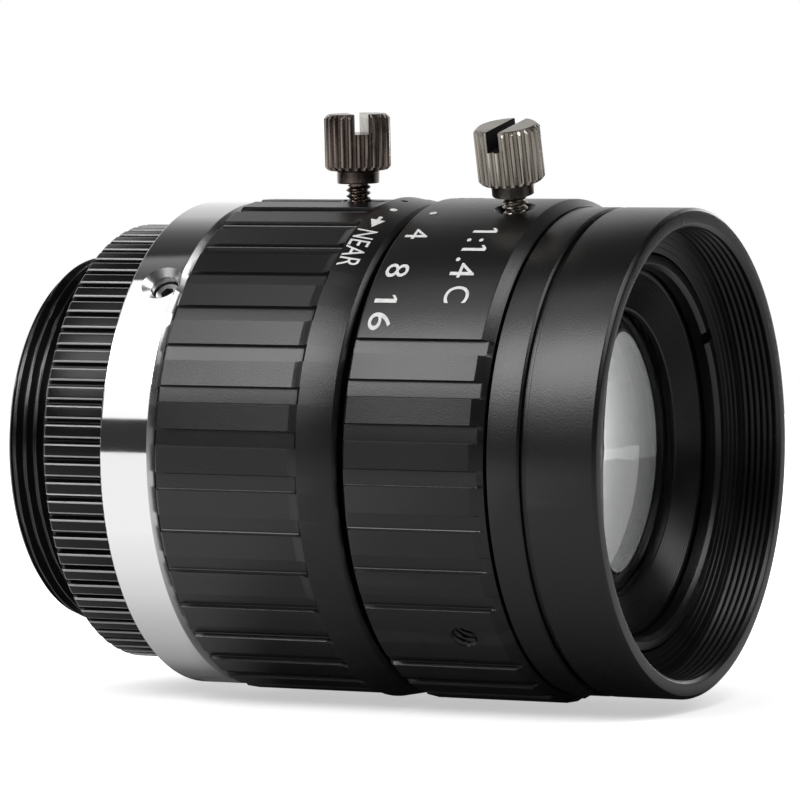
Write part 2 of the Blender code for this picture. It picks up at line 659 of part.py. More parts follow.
def make_mount_grub_screws():
    """Headless screws with a hexagon socket, their tips just off the fixed barrel."""
    angles = even_angles(SCREW_SIDES)
    tip = MOUNT_RING_BORE
    top = tip + CLAMP_SCREW_LENGTH
    floor = top - CLAMP_SOCKET_DEPTH
    chamfer = CLAMP_SCREW_RADIUS / 4
    for index, angle in enumerate(clamp_angles(), 1):
        name = f"mount_grub_screw_{index}"
        target = bmesh.new()
        sections = [
            (0, 0),
            (0, CLAMP_SCREW_RADIUS - chamfer),
            (chamfer, CLAMP_SCREW_RADIUS),
            (top - tip, CLAMP_SCREW_RADIUS),
            (top - tip, hexagon_radii(CLAMP_SOCKET_RADIUS, angles)),
            (floor - tip, hexagon_radii(CLAMP_SOCKET_RADIUS, angles)),
            (floor - tip, 0),
        ]
        add_turned(target, sections, angles, closed=False)
        screw = add_object(name, target, screw_steel(name))
        stand_outward(screw, CLAMP_X, tip, angle)


def make_fixed_barrel():
    """Tube screwed into the adapter; the focus ring turns on it, the sleeve slides in it."""
    barrel = turned(
        "fixed_barrel",
        [
            (SOCKET_FLOOR + SEAT, ADAPTER_BORE),
            (SOCKET_FLOOR + SEAT, BARREL_SPIGOT_RADIUS),
            (MOUNT_RING_REAR, BARREL_SPIGOT_RADIUS),
            (MOUNT_RING_REAR, BARREL_FLANGE_RADIUS),
            (FOCUS_RING_REAR, BARREL_FLANGE_RADIUS),
            (FOCUS_RING_REAR, BARREL_RADIUS),
            (SNAP_RING_REAR - PIN_FIT, BARREL_RADIUS),
            (SNAP_RING_REAR - PIN_FIT, SNAP_GROOVE_FLOOR),
            (SNAP_RING_FRONT + PIN_FIT, SNAP_GROOVE_FLOOR),
            (SNAP_RING_FRONT + PIN_FIT, BARREL_RADIUS),
            (BARREL_FRONT, BARREL_RADIUS),
            (BARREL_FRONT, BARREL_BORE),
            (BARREL_INNER_STEP, BARREL_BORE),
            (BARREL_INNER_STEP, ADAPTER_BORE),
        ],
        OUTER_SIDES,
        matt_black("fixed_barrel"),
    )
    shape_with(barrel, key_tool("key_window", KEY_REAR - HOLE_FIT, KEY_FRONT + HOLE_FIT, HOLE_FIT))
    screw_half_angle = (STOP_RADIUS + HOLE_FIT) / (BARREL_RADIUS - STOP_GROOVE_DEPTH)
    groove = arc_band(
        "stop_groove",
        STOP_X - STOP_RADIUS - HOLE_FIT,
        STOP_X + STOP_RADIUS + HOLE_FIT,
        BARREL_RADIUS - STOP_GROOVE_DEPTH,
        BARREL_RADIUS + CUT_OVERRUN,
        STOP_ANGLE - FOCUS_TO_FAR - screw_half_angle,
        STOP_ANGLE + FOCUS_TO_NEAR + screw_half_angle,
        GLASS_SIDES,
    )
    shape_with(barrel, groove)


def key_tool(name, x_from, x_to, side_play):
    """Cutter for the guide key's window or slot."""
    tool = key_block(
        name,
        x_from,
        x_to,
        SLEEVE_REAR_RADIUS - KEY_DEPTH,
        BARREL_RADIUS + CUT_OVERRUN,
        KEY_WIDTH / 2 + side_play,
    )
    return tool


def key_block(name, x_from, x_to, inner, outer, half_width, material=None):
    """Rectangular block at the guide key's angle."""
    outward = polar(0, 1, KEY_ANGLE)
    side = polar(0, 1, KEY_ANGLE + math.pi / 2)
    corners = ((inner, -half_width), (outer, -half_width), (outer, half_width), (inner, half_width))
    points = [outward * reach + side * across for reach, across in corners]
    return prism(name, [(point.y, point.z) for point in points], x_from, x_to, material)


def make_guide_key():
    """Key in the fixed barrel's window, reaching into the sleeve's slot."""
    inner = SLEEVE_REAR_RADIUS - KEY_DEPTH + FIT
    outer = BARREL_RADIUS - SEAT
    material = screw_steel("guide_key")
    key_block("guide_key", KEY_REAR, KEY_FRONT, inner, outer, KEY_WIDTH / 2, material)


def make_snap_ring():
    """Open spring ring, half in the barrel's groove and half in the focus ring's."""
    arc_band(
        "snap_ring",
        SNAP_RING_REAR,
        SNAP_RING_FRONT,
        SNAP_RING_INNER,
        SNAP_RING_OUTER,
        SNAP_RING_OPENING / 2,
        2 * math.pi - SNAP_RING_OPENING / 2,
        INNER_SIDES,
        screw_steel("snap_ring"),
    )


def grip_angles(first_ridge):
    """Angles of the grip's corners, four for each ridge and the flat after it."""
    pitch = 2 * math.pi / RIDGE_COUNT
    half = RIDGE_SHARE / 2
    corners = (-half, half, half + FLANK_SHARE, 1 - half - FLANK_SHARE)
    return [
        first_ridge + (index + corner) * pitch
        for index in range(RIDGE_COUNT)
        for corner in corners
    ]


def grip_radii(ridge, flat):
    """Radii of the grip's corners, four for each ridge and the flat after it."""
    return [ridge, ridge, flat, flat] * RIDGE_COUNT


def make_focus_ring():
    """Ring with 36 ridges, milled flats between them and a tapered plain front."""
    top = FOCUS_RING_RADIUS
    flat = top - FLAT_DEPTH
    grip_front = FOCUS_RING_FRONT - FOCUS_FRONT_LENGTH
    sections = [
        (FOCUS_RING_REAR, top - EDGE_CHAMFER),
        (FOCUS_RING_REAR + EDGE_CHAMFER, grip_radii(top, top - EDGE_CHAMFER / 2)),
        (FOCUS_RING_REAR + EDGE_CHAMFER + REAR_RAMP, grip_radii(top, flat)),
        (grip_front - FRONT_RAMP, grip_radii(top, flat)),
        (grip_front, top),
        (FOCUS_RING_FRONT - EDGE_CHAMFER, top - FOCUS_TAPER),
        (FOCUS_RING_FRONT, top - FOCUS_TAPER - EDGE_CHAMFER),
    ]
    angles = grip_angles(FOCUS_FIRST_RIDGE)
    ring = lofted("focus_ring", sections, angles, black_anodised("focus_ring"))
    groove = SNAP_RING_OUTER + FIT
    bore = turned(
        "focus_ring_bore",
        [
            (FOCUS_RING_REAR - CUT_OVERRUN, 0),
            (FOCUS_RING_REAR - CUT_OVERRUN, FOCUS_RING_BORE),
            (SNAP_RING_REAR - PIN_FIT, FOCUS_RING_BORE),
            (SNAP_RING_REAR - PIN_FIT, groove),
            (SNAP_RING_FRONT + PIN_FIT, groove),
            (SNAP_RING_FRONT + PIN_FIT, FOCUS_RING_BORE),
            (FOCUS_RING_FRONT + CUT_OVERRUN, FOCUS_RING_BORE),
            (FOCUS_RING_FRONT + CUT_OVERRUN, 0),
        ],
        OUTER_SIDES,
        closed=False,
    )
    shape_with(ring, bore)
    radial_hole(
        ring,
        "focus_lock_hole",
        FOCUS_LOCK_X,
        FOCUS_LOCK_ANGLE,
        LOCK_SHANK_RADIUS + HOLE_FIT,
        FOCUS_RING_BORE - CUT_OVERRUN,
        flat,
        LOCK_SINK_RADIUS,
        LOCK_SINK_DEPTH,
    )
    radial_hole(
        ring,
        "stop_hole",
        STOP_X,
        STOP_ANGLE,
        STOP_RADIUS + HOLE_FIT,
        FOCUS_RING_BORE - CUT_OVERRUN,
        FOCUS_RING_RADIUS,
    )


def make_focus_stop_screw():
    """Headless screw of the focus ring, its tip in the barrel's arc groove."""
    tip = BARREL_RADIUS - STOP_GROOVE_DEPTH + SEAT
    length = FOCUS_RING_RADIUS - STOP_SUNK - tip
    screw = turned(
        "focus_stop_screw",
        [(0, 0), (0, STOP_RADIUS), (length, STOP_RADIUS), (length, 0)],
        SCREW_SIDES,
        screw_steel("focus_stop_screw"),
        closed=False,
    )
    stand_outward(screw, STOP_X, tip, STOP_ANGLE)


def make_optics_sleeve():
    """Tube that carries all the glass, with the focus thread's flange round its middle."""
    sleeve = turned(
        "optics_sleeve",
        [
            (SLEEVE_REAR, SLEEVE_REAR_BORE),
            (SLEEVE_REAR, SLEEVE_REAR_RADIUS),
            (HELICOID_REAR, SLEEVE_REAR_RADIUS),
            (HELICOID_REAR, HELICOID_RADIUS),
            (HELICOID_FRONT, HELICOID_RADIUS),
            (HELICOID_FRONT, BEARING_RADIUS),
            (SLEEVE_FRONT, BEARING_RADIUS),
            (SLEEVE_FRONT, SLEEVE_FRONT_BORE),
            (IRIS_SEAT, SLEEVE_FRONT_BORE),
            (IRIS_SEAT, SLEEVE_REAR_BORE),
        ],
        OUTER_SIDES,
        matt_black("optics_sleeve"),
    )
    near_travel = FOCUS_LEAD * FOCUS_TO_NEAR / (2 * math.pi)
    far_travel = FOCUS_LEAD * FOCUS_TO_FAR / (2 * math.pi)
    slot_rear = KEY_REAR - near_travel - SEAT
    slot_front = KEY_FRONT + far_travel + SEAT
    shape_with(sleeve, key_tool("key_slot", slot_rear, slot_front, PIN_FIT))
    pin_half_angle = (DRIVE_PIN_RADIUS + HOLE_FIT) / BEARING_RADIUS
    window = arc_band(
        "drive_window",
        CAM_RING_MIDDLE - DRIVE_PIN_RADIUS - HOLE_FIT,
        CAM_RING_MIDDLE + DRIVE_PIN_RADIUS + HOLE_FIT,
        SLEEVE_FRONT_BORE - CUT_OVERRUN,
        BEARING_RADIUS + CUT_OVERRUN,
        drive_pin_angle() - IRIS_TURN - pin_half_angle,
        drive_pin_angle() + pin_half_angle,
        SCREW_SIDES,
    )
    shape_with(sleeve, window)


def face_height(rim_radius, bulge, radius):
    """How far a lens face stands out of its rim, at this radius."""
    if bulge == 0:
        return 0.0
    curvature = (rim_radius**2 + bulge**2) / (2 * abs(bulge))
    rise = math.sqrt(curvature**2 - radius**2) - math.sqrt(curvature**2 - rim_radius**2)
    return math.copysign(rise, bulge)


def make_glass(name, radius, rear, front, rear_bulge, front_bulge, rings=2, sides=GLASS_SIDES):
    """A lens element with round faces, from the planes of its rim."""
    steps = [radius * step / rings for step in range(rings + 1)]
    sections = [(rear - face_height(radius, rear_bulge, step), step) for step in steps]
    sections += [(front + face_height(radius, front_bulge, step), step) for step in reversed(steps)]
    turned(name, sections, sides, coated_glass(name), closed=False)


def make_front_glasses():
    """The three elements in front of the iris."""
    make_glass(
        "front_element",
        FRONT_GLASS_RADIUS,
        FRONT_GLASS_REAR,
        FRONT_GLASS_FRONT,
        -FRONT_GLASS_HOLLOW,
        FRONT_GLASS_BULGE,
        rings=3,
        sides=INNER_SIDES,
    )
    make_glass(
        "second_element",
        SECOND_GLASS_RADIUS,
        SECOND_GLASS_REAR,
        SECOND_GLASS_FRONT,
        -SECOND_GLASS_HOLLOW,
        SECOND_GLASS_BULGE,
    )
    make_glass(
        "third_element",
        THIRD_GLASS_RADIUS,
        THIRD_GLASS_REAR,
        THIRD_GLASS_FRONT,
        -THIRD_GLASS_HOLLOW,
        THIRD_GLASS_BULGE,
    )


def make_rear_glasses():
    """The four elements behind the iris, the first two cemented together."""
    make_glass(
        "doublet_front_element",
        DOUBLET_RADIUS,
        DOUBLET_MIDDLE,
        DOUBLET_FRONT,
        -DOUBLET_CEMENTED,
        -DOUBLET_FRONT_HOLLOW,
    )
    make_glass(
        "doublet_rear_element",
        DOUBLET_RADIUS,
        DOUBLET_REAR,
        DOUBLET_REAR_FRONT,
        DOUBLET_REAR_BULGE,
        DOUBLET_CEMENTED,
    )
    make_glass(
        "sixth_element",
        SIXTH_GLASS_RADIUS,
        SIXTH_GLASS_REAR,
        SIXTH_GLASS_FRONT,
        SIXTH_GLASS_REAR_BULGE,
        SIXTH_GLASS_FRONT_BULGE,
    )
    make_glass(
        "rear_element",
        REAR_GLASS_RADIUS,
        REAR_GLASS_REAR,
        REAR_GLASS_FRONT,
        0,
        REAR_GLASS_BULGE,
    )


def make_front_cell():
    """Stepped tube for the front elements, its flange clamped by the front barrel."""
    first = FRONT_GLASS_RADIUS + GLASS_FIT
    second = SECOND_GLASS_RADIUS + GLASS_FIT
    third = THIRD_GLASS_RADIUS + GLASS_FIT
    turned(
        "front_cell",
        [
            (FRONT_CELL_REAR, third - CELL_LIP_WIDTH),
            (FRONT_CELL_REAR, IRIS_PART_RADIUS),
            (CELL_FLANGE_REAR, IRIS_PART_RADIUS),
            (CELL_FLANGE_REAR, BEARING_RADIUS),
            (FRONT_CELL_FRONT, BEARING_RADIUS),
            (FRONT_CELL_FRONT, first),
            (FRONT_GLASS_SEAT, first),
            (FRONT_GLASS_SEAT, second),
            (SECOND_GLASS_SEAT, second),
            (SECOND_GLASS_SEAT, third),
            (FRONT_CELL_REAR + CELL_LIP, third),
            (FRONT_CELL_REAR + CELL_LIP, third - CELL_LIP_WIDTH),
        ],
        INNER_SIDES,
        matt_black("front_cell"),
    )


def make_rear_cell():
    """Stepped tube for the rear elements, which go in from its tail."""
    doublet = DOUBLET_RADIUS + GLASS_FIT
    sixth = SIXTH_GLASS_RADIUS + GLASS_FIT
    rear = REAR_GLASS_RADIUS + GLASS_FIT
    turned(
        "rear_cell",
        [
            (REAR_CELL_REAR, rear),
            (REAR_CELL_REAR, TAIL_RADIUS),
            (REAR_CELL_SHOULDER, TAIL_RADIUS),
            (REAR_CELL_SHOULDER, REAR_CELL_RADIUS),
            (REAR_CELL_FRONT, REAR_CELL_RADIUS),
            (REAR_CELL_FRONT, doublet - CELL_LIP_WIDTH),
            (REAR_CELL_FRONT - CELL_LIP, doublet - CELL_LIP_WIDTH),
            (REAR_CELL_FRONT - CELL_LIP, doublet),
            (SIXTH_GLASS_SEAT, doublet),
            (SIXTH_GLASS_SEAT, sixth),
            (REAR_GLASS_SEAT, sixth),
            (REAR_GLASS_SEAT, rear),
        ],
        INNER_SIDES,
        matt_black("rear_cell"),
    )


def make_spacer(name, outer, rear_rim, rear_glass, front_rim, front_glass):
    """Ring between two elements; each glass is its rim radius and its facing bulge."""
    inner = outer - SPACER_WIDTH
    rear = rear_rim + SEAT + max(0, face_height(*rear_glass, inner))
    front = front_rim - SEAT - max(0, face_height(*front_glass, inner))
    sections = [(rear, inner), (rear, outer), (front, outer), (front, inner)]
    turned(name, sections, GLASS_SIDES, matt_black(name))


def make_spacers():
    """Rings that keep the elements apart."""
    make_spacer(
        "front_spacer",
        SECOND_GLASS_RADIUS,
        SECOND_GLASS_FRONT,
        (SECOND_GLASS_RADIUS, SECOND_GLASS_BULGE),
        FRONT_GLASS_REAR,
        (FRONT_GLASS_RADIUS, -FRONT_GLASS_HOLLOW),
    )
    make_spacer(
        "doublet_spacer",
        DOUBLET_RADIUS,
        SIXTH_GLASS_FRONT,
        (SIXTH_GLASS_RADIUS, SIXTH_GLASS_FRONT_BULGE),
        DOUBLET_REAR,
        (DOUBLET_RADIUS, DOUBLET_REAR_BULGE),
    )
    make_spacer(
        "rear_spacer",
        SIXTH_GLASS_RADIUS,
        REAR_GLASS_FRONT,
        (REAR_GLASS_RADIUS, REAR_GLASS_BULGE),
        SIXTH_GLASS_REAR,
        (SIXTH_GLASS_RADIUS, SIXTH_GLASS_REAR_BULGE),
    )


def make_rear_retainer():
    """Threaded ring that holds the rear elements in their cell."""
    inner = REAR_GLASS_RADIUS - REAR_RETAINER_WIDTH
    turned(
        "rear_retainer",
        [
            (REAR_RETAINER_REAR, inner),
            (REAR_RETAINER_REAR, REAR_GLASS_RADIUS),
            (REAR_RETAINER_FRONT, REAR_GLASS_RADIUS),
            (REAR_RETAINER_FRONT, inner),
        ],
        GLASS_SIDES,
        matt_black("rear_retainer"),
    )


def make_front_barrel():
    """Front tube with a groove round it and the filter thread's bore at its rim."""
    groove_rear = FRONT_BARREL_REAR + GROOVE_FROM_REAR
    groove_front = groove_rear + GROOVE_WIDTH
    turned(
        "front_barrel",
        [
            (FRONT_BARREL_REAR, FRONT_BARREL_BORE),
            (FRONT_BARREL_REAR, FRONT_BARREL_RADIUS),
            (groove_rear, FRONT_BARREL_RADIUS),
            (groove_rear, FRONT_BARREL_RADIUS - GROOVE_DEPTH),
            (groove_front, FRONT_BARREL_RADIUS - GROOVE_DEPTH),
            (groove_front, FRONT_BARREL_RADIUS),
            (FRONT_BARREL_FRONT - RIM_CHAMFER, FRONT_BARREL_RADIUS),
            (FRONT_BARREL_FRONT, FRONT_BARREL_RADIUS - RIM_CHAMFER),
            (FRONT_BARREL_FRONT, RIM_INNER_RADIUS),
            (FRONT_BARREL_FRONT - FILTER_STEP, FILTER_RADIUS),
            (FILTER_FLOOR, FILTER_RADIUS),
            (HOOD_FACE_REAR, HOOD_BORE),
            (FRONT_SHOULDER, HOOD_BORE),
            (FRONT_SHOULDER, FRONT_BARREL_BORE),
        ],
        OUTER_SIDES,
        black_anodised("front_barrel"),
    )


def make_front_retainer():
    """Threaded ring inside the hood, with two notches for a spanner."""
    retainer = turned(
        "front_retainer",
        [
            (RETAINER_REAR, RETAINER_BORE),
            (RETAINER_REAR, RETAINER_RADIUS),
            (RETAINER_FRONT, RETAINER_RADIUS),
            (RETAINER_FRONT, RETAINER_BORE),
        ],
        INNER_SIDES,
        black_anodised("front_retainer"),
    )
    outward = polar(0, 1, NOTCH_ANGLE)
    side = polar(0, 1, NOTCH_ANGLE + math.pi / 2)
    reach = RETAINER_RADIUS + CUT_OVERRUN
    corners = ((-reach, -1), (reach, -1), (reach, 1), (-reach, 1))
    points = [outward * along + side * across * NOTCH_WIDTH / 2 for along, across in corners]
    notches = prism(
        "spanner_notches",
        [(point.y, point.z) for point in points],
        RETAINER_FRONT - NOTCH_DEPTH,
        RETAINER_FRONT + CUT_OVERRUN,
    )
    shape_with(retainer, notches)


def make_baffle_ring():
    """Sloping ring round the front glass."""
    slope_foot = BAFFLE_BORE + BAFFLE_GROOVED
    turned(
        "baffle_ring",
        [
            (BAFFLE_REAR, BAFFLE_BORE),
            (BAFFLE_REAR, RETAINER_RADIUS),
            (BAFFLE_FRONT, RETAINER_RADIUS),
            (BAFFLE_FRONT, RETAINER_BORE - FIT),
            (BAFFLE_REAR + BAFFLE_LIP + BAFFLE_GROOVED_RISE, slope_foot),
            (BAFFLE_REAR + BAFFLE_LIP, BAFFLE_BORE),
        ],
        INNER_SIDES,
        matt_black("baffle_ring"),
    )


def pin_track(share):
    """Where a blade's drive pin stands, for a blade pivoted at angle 0.

    The share runs from 0, open, to 1, closed. It returns the radius and the angle as the
    cam ring sees them, with the ring turned back by the same share of its own turn.
    """
    pivot = Vector((PIVOT_RADIUS, 0))
    open_pin = PIVOT_RADIUS * Vector((math.cos(BLADE_PIN_SPREAD), math.sin(BLADE_PIN_SPREAD)))
    arm = Matrix.Rotation(BLADE_TURN * share, 2) @ (open_pin - pivot)
    pin = pivot + arm
    return pin.length, math.atan2(pin.y, pin.x) + IRIS_TURN * share


def drive_pin_angle():
    """Angle of the iris ring's drive pin, in the plain part between two cam slots."""
    closed_end = pin_track(1)[1]
    next_open_end = BLADE_PIN_SPREAD + 2 * math.pi / BLADE_COUNT
    between = (closed_end + next_open_end) / 2
    return BLADE_FIRST_ANGLE + between + DRIVE_NOTCH_INDEX * 2 * math.pi / BLADE_COUNT


def blade_angle(index):
    """Angle of a blade's pivot, the first blade being 0."""
    return BLADE_FIRST_ANGLE + index * 2 * math.pi / BLADE_COUNT


def make_iris_base():
    """Flat ring with the fixed aperture and a hole for each blade's pivot."""
    base = turned(
        "iris_base",
        [
            (IRIS_BASE_REAR, STOP_APERTURE),
            (IRIS_BASE_REAR, IRIS_PART_RADIUS),
            (IRIS_BASE_FRONT, IRIS_PART_RADIUS),
            (IRIS_BASE_FRONT, STOP_APERTURE),
        ],
        INNER_SIDES,
        matt_black("iris_base"),
    )
    tool = bmesh.new()
    for index in range(BLADE_COUNT):
        outline = disc_outline(
            PIVOT_RADIUS, blade_angle(index), BLADE_PIN_RADIUS + PIN_FIT, PIN_SIDES
        )
        add_prism(tool, outline, IRIS_BASE_REAR - CUT_OVERRUN, IRIS_BASE_FRONT + CUT_OVERRUN)
    shape_with(base, add_object("pivot_holes", tool))


def blade_outline():
    """Outline of a blade that is pivoted at angle 0, as radius and angle in order."""
    middle = (BLADE_INNER_RADIUS + BLADE_OUTER_RADIUS) / 2
    half_width = (BLADE_OUTER_RADIUS - BLADE_INNER_RADIUS) / 2
    arc_steps = 8
    tip_steps = 4
    points = []
    for step in range(arc_steps + 1):
        angle = -BLADE_BACK + (BLADE_SPAN + BLADE_BACK) * step / arc_steps
        points.append(polar(0, BLADE_INNER_RADIUS, angle))
    tip_centre = polar(0, middle, BLADE_SPAN)
    for step in range(1, tip_steps):
        turn = BLADE_SPAN + math.pi - math.pi * step / tip_steps
        points.append(tip_centre + polar(0, half_width, turn))
    ear_foot = BLADE_PIN_SPREAD + (BLADE_PIN_SPREAD + BLADE_BACK) / 3
    for step in range(arc_steps + 1):
        angle = BLADE_SPAN + (ear_foot - BLADE_SPAN) * step / arc_steps
        points.append(polar(0, BLADE_OUTER_RADIUS, angle))
    ear = BLADE_EAR_RADIUS
    for turn in (math.pi / 3, 0.0):
        centre = polar(0, PIVOT_RADIUS, BLADE_PIN_SPREAD)
        points.append(centre + polar(0, ear, BLADE_PIN_SPREAD + turn))
    for turn in (0.0, -math.pi / 4, -math.pi / 2):
        points.append(polar(0, PIVOT_RADIUS, 0) + polar(0, ear, turn))
    points.append(polar(0, BLADE_OUTER_RADIUS - ear, -BLADE_BACK))
    return points


def make_iris_blade(index):
    """A thin curved blade with a pivot pin behind it and a drive pin in front of it."""
    name = f"iris_blade_{index + 1}"
    rear = BLADES_REAR + index * BLADE_PITCH
    front = rear + BLADE_THICKNESS
    pivot = polar(0, PIVOT_RADIUS, 0)
    outline = [(point.y - pivot.y, point.z - pivot.z) for point in blade_outline()]
    blade = prism(name, outline, 0, BLADE_THICKNESS, matt_black(name))
    middle = BLADE_THICKNESS / 2
    pin_end = IRIS_BASE_REAR + SEAT / 2 - rear
    drive_end = CAM_RING_FRONT - SEAT / 2 - front + BLADE_THICKNESS
    drive_centre = polar(0, PIVOT_RADIUS, BLADE_PIN_SPREAD) - pivot
    pins = bmesh.new()
    for centre, x_from, x_to in (
        (Vector((0, 0, 0)), pin_end, middle),
        (drive_centre, middle, drive_end),
    ):
        corners = [centre + polar(0, BLADE_PIN_RADIUS, turn) for turn in even_angles(PIN_SIDES)]
        add_prism(pins, [(corner.y, corner.z) for corner in corners], x_from, x_to)
    tool = add_object(f"blade_pins_{index + 1}", pins)
    shape_with(blade, tool, "UNION")
    for piece in (blade, tool):
        piece.location = polar(rear, PIVOT_RADIUS, blade_angle(index))
        piece.rotation_euler = (blade_angle(index), 0, 0)


def make_iris_cam_ring():
    """Ring with a curved slot for each blade's drive pin, and a notch for its own pin."""
    ring = turned(
        "iris_cam_ring",
        [
            (CAM_RING_REAR, IRIS_PART_RADIUS - CAM_RING_WIDTH),
            (CAM_RING_REAR, IRIS_PART_RADIUS),
            (CAM_RING_FRONT, IRIS_PART_RADIUS),
            (CAM_RING_FRONT, IRIS_PART_RADIUS - CAM_RING_WIDTH),
        ],
        OUTER_SIDES,
        matt_black("iris_cam_ring"),
    )
    tool = bmesh.new()
    for index in range(BLADE_COUNT):
        outline = cam_slot_outline(blade_angle(index))
        add_prism(tool, outline, CAM_RING_REAR - CUT_OVERRUN, CAM_RING_FRONT + CUT_OVERRUN)
    shape_with(ring, add_object("cam_slots", tool))
    notch_angle = drive_pin_angle()
    outward = polar(0, 1, notch_angle)
    side = polar(0, 1, notch_angle + math.pi / 2)
    half = DRIVE_PIN_RADIUS + PIN_FIT
    inner = IRIS_PART_RADIUS - DRIVE_NOTCH_DEPTH
    outer = IRIS_PART_RADIUS + CUT_OVERRUN
    corners = ((inner, -half), (outer, -half), (outer, half), (inner, half))
    points = [outward * reach + side * across for reach, across in corners]
    notch = prism(
        "drive_notch",
        [(point.y, point.z) for point in points],
        CAM_RING_REAR - CUT_OVERRUN,
        CAM_RING_FRONT + CUT_OVERRUN,
    )
    shape_with(ring, notch)


def cam_slot_outline(first_angle):
    """Outline of one cam slot: the path of the drive pin, widened to both sides."""
    path = []
    for step in range(CAM_SLOT_STEPS + 1):
        radius, angle = pin_track(step / CAM_SLOT_STEPS)
        path.append(polar(0, radius, first_angle + angle))
    half = BLADE_PIN_RADIUS + PIN_FIT
    inner_side = []
    outer_side = []
    for step, point in enumerate(path):
        before = path[max(step - 1, 0)]
        after = path[min(step + 1, CAM_SLOT_STEPS)]
        along = (after - before).normalized()
        across = Vector((1, 0, 0)).cross(along)
        outer_side.append(point + across * half)
        inner_side.append(point - across * half)
    start = (path[0] - path[1]).normalized()
    end = (path[-1] - path[-2]).normalized()
    closed_cap = slot_cap(path[-1], end, half)
    open_cap = slot_cap(path[0], start, half)
    outline = outer_side + closed_cap + inner_side[::-1] + open_cap
    return [(point.y, point.z) for point in outline]


def slot_cap(centre, along, half):
    """Points of a slot's round end, between its two sides."""
    across = Vector((1, 0, 0)).cross(along)
    reach = half / math.cos(math.pi / 8)
    return [
        centre + (along * math.cos(turn) + across * math.sin(turn)) * reach
        for turn in (math.pi / 4, -math.pi / 4)
    ]


def make_iris_drive_pin():
    """Pin of the iris ring that reaches through the sleeve into the cam ring's notch."""
    tip = IRIS_PART_RADIUS - DRIVE_NOTCH_DEPTH + SEAT
    length = IRIS_RING_RADIUS - DRIVE_PIN_SUNK - tip
    pin = turned(
        "iris_drive_pin",
        [(0, 0), (0, DRIVE_PIN_RADIUS), (length, DRIVE_PIN_RADIUS), (length, 0)],
        PIN_SIDES,
        screw_steel("iris_drive_pin"),
        closed=False,
    )
    stand_outward(pin, CAM_RING_MIDDLE, tip, drive_pin_angle())


def is_lettered(angle):
    """Whether this angle of the iris ring is in its smooth lettered part."""
    turn = (angle - LETTERED_FROM) % (2 * math.pi)
    return turn < LETTERED_TO - LETTERED_FROM


def iris_grip_radii(angles, ridge, flat):
    """Radii of the iris ring's corners, with no ridges where it is lettered."""
    spare = SPARE_HOLE_ANGLE
    half_pitch = math.pi / RIDGE_COUNT
    radii = []
    for angle, radius in zip(angles, grip_radii(ridge, flat)):
        off_spare = abs((angle - spare + math.pi) % (2 * math.pi) - math.pi)
        smooth = is_lettered(angle) or off_spare < half_pitch
        radii.append(flat if smooth else radius)
    return radii


def make_iris_ring():
    """Ring with ridges and flats, a smooth lettered part and a bevelled front edge."""
    top = IRIS_RING_RADIUS
    flat = top - FLAT_DEPTH
    angles = grip_angles(IRIS_FIRST_RIDGE)
    grip = iris_grip_radii(angles, top, flat)
    bevel_rear = IRIS_RING_FRONT - IRIS_BEVEL_LENGTH
    sections = [
        (IRIS_RING_REAR, top - EDGE_CHAMFER),
        (IRIS_RING_REAR + EDGE_CHAMFER, grip),
        (bevel_rear - FRONT_RAMP, grip),
        (bevel_rear, top),
        (IRIS_RING_FRONT, top - IRIS_BEVEL_DROP),
    ]
    ring = lofted("iris_ring", sections, angles, black_anodised("iris_ring"))
    bore = turned(
        "iris_ring_bore",
        [
            (IRIS_RING_REAR - CUT_OVERRUN, 0),
            (IRIS_RING_REAR - CUT_OVERRUN, IRIS_RING_BORE),
            (IRIS_RING_FRONT + CUT_OVERRUN, IRIS_RING_BORE),
            (IRIS_RING_FRONT + CUT_OVERRUN, 0),
        ],
        OUTER_SIDES,
        closed=False,
    )
    shape_with(ring, bore)
    radial_hole(
        ring,
        "iris_lock_hole",
        IRIS_LOCK_X,
        IRIS_LOCK_ANGLE,
        LOCK_SHANK_RADIUS + HOLE_FIT,
        IRIS_RING_BORE - CUT_OVERRUN,
        flat,
        LOCK_SINK_RADIUS,
        LOCK_SINK_DEPTH,
    )
    radial_hole(
        ring,
        "spare_hole",
        SPARE_HOLE_X,
        SPARE_HOLE_ANGLE,
        SPARE_HOLE_RADIUS,
        IRIS_RING_BORE - CUT_OVERRUN,
        IRIS_RING_RADIUS,
    )
    pin_hole = turned(
        "drive_pin_hole",
        [
            (IRIS_RING_BORE - CUT_OVERRUN, 0),
            (IRIS_RING_BORE - CUT_OVERRUN, DRIVE_PIN_RADIUS + HOLE_FIT),
            (IRIS_RING_RADIUS - DRIVE_PIN_SUNK + HOLE_FIT, DRIVE_PIN_RADIUS + HOLE_FIT),
            (IRIS_RING_RADIUS - DRIVE_PIN_SUNK + HOLE_FIT, 0),
        ],
        PIN_SIDES,
        closed=False,
    )
    stand_outward(pin_hole, CAM_RING_MIDDLE, 0, drive_pin_angle())
    shape_with(ring, pin_hole)


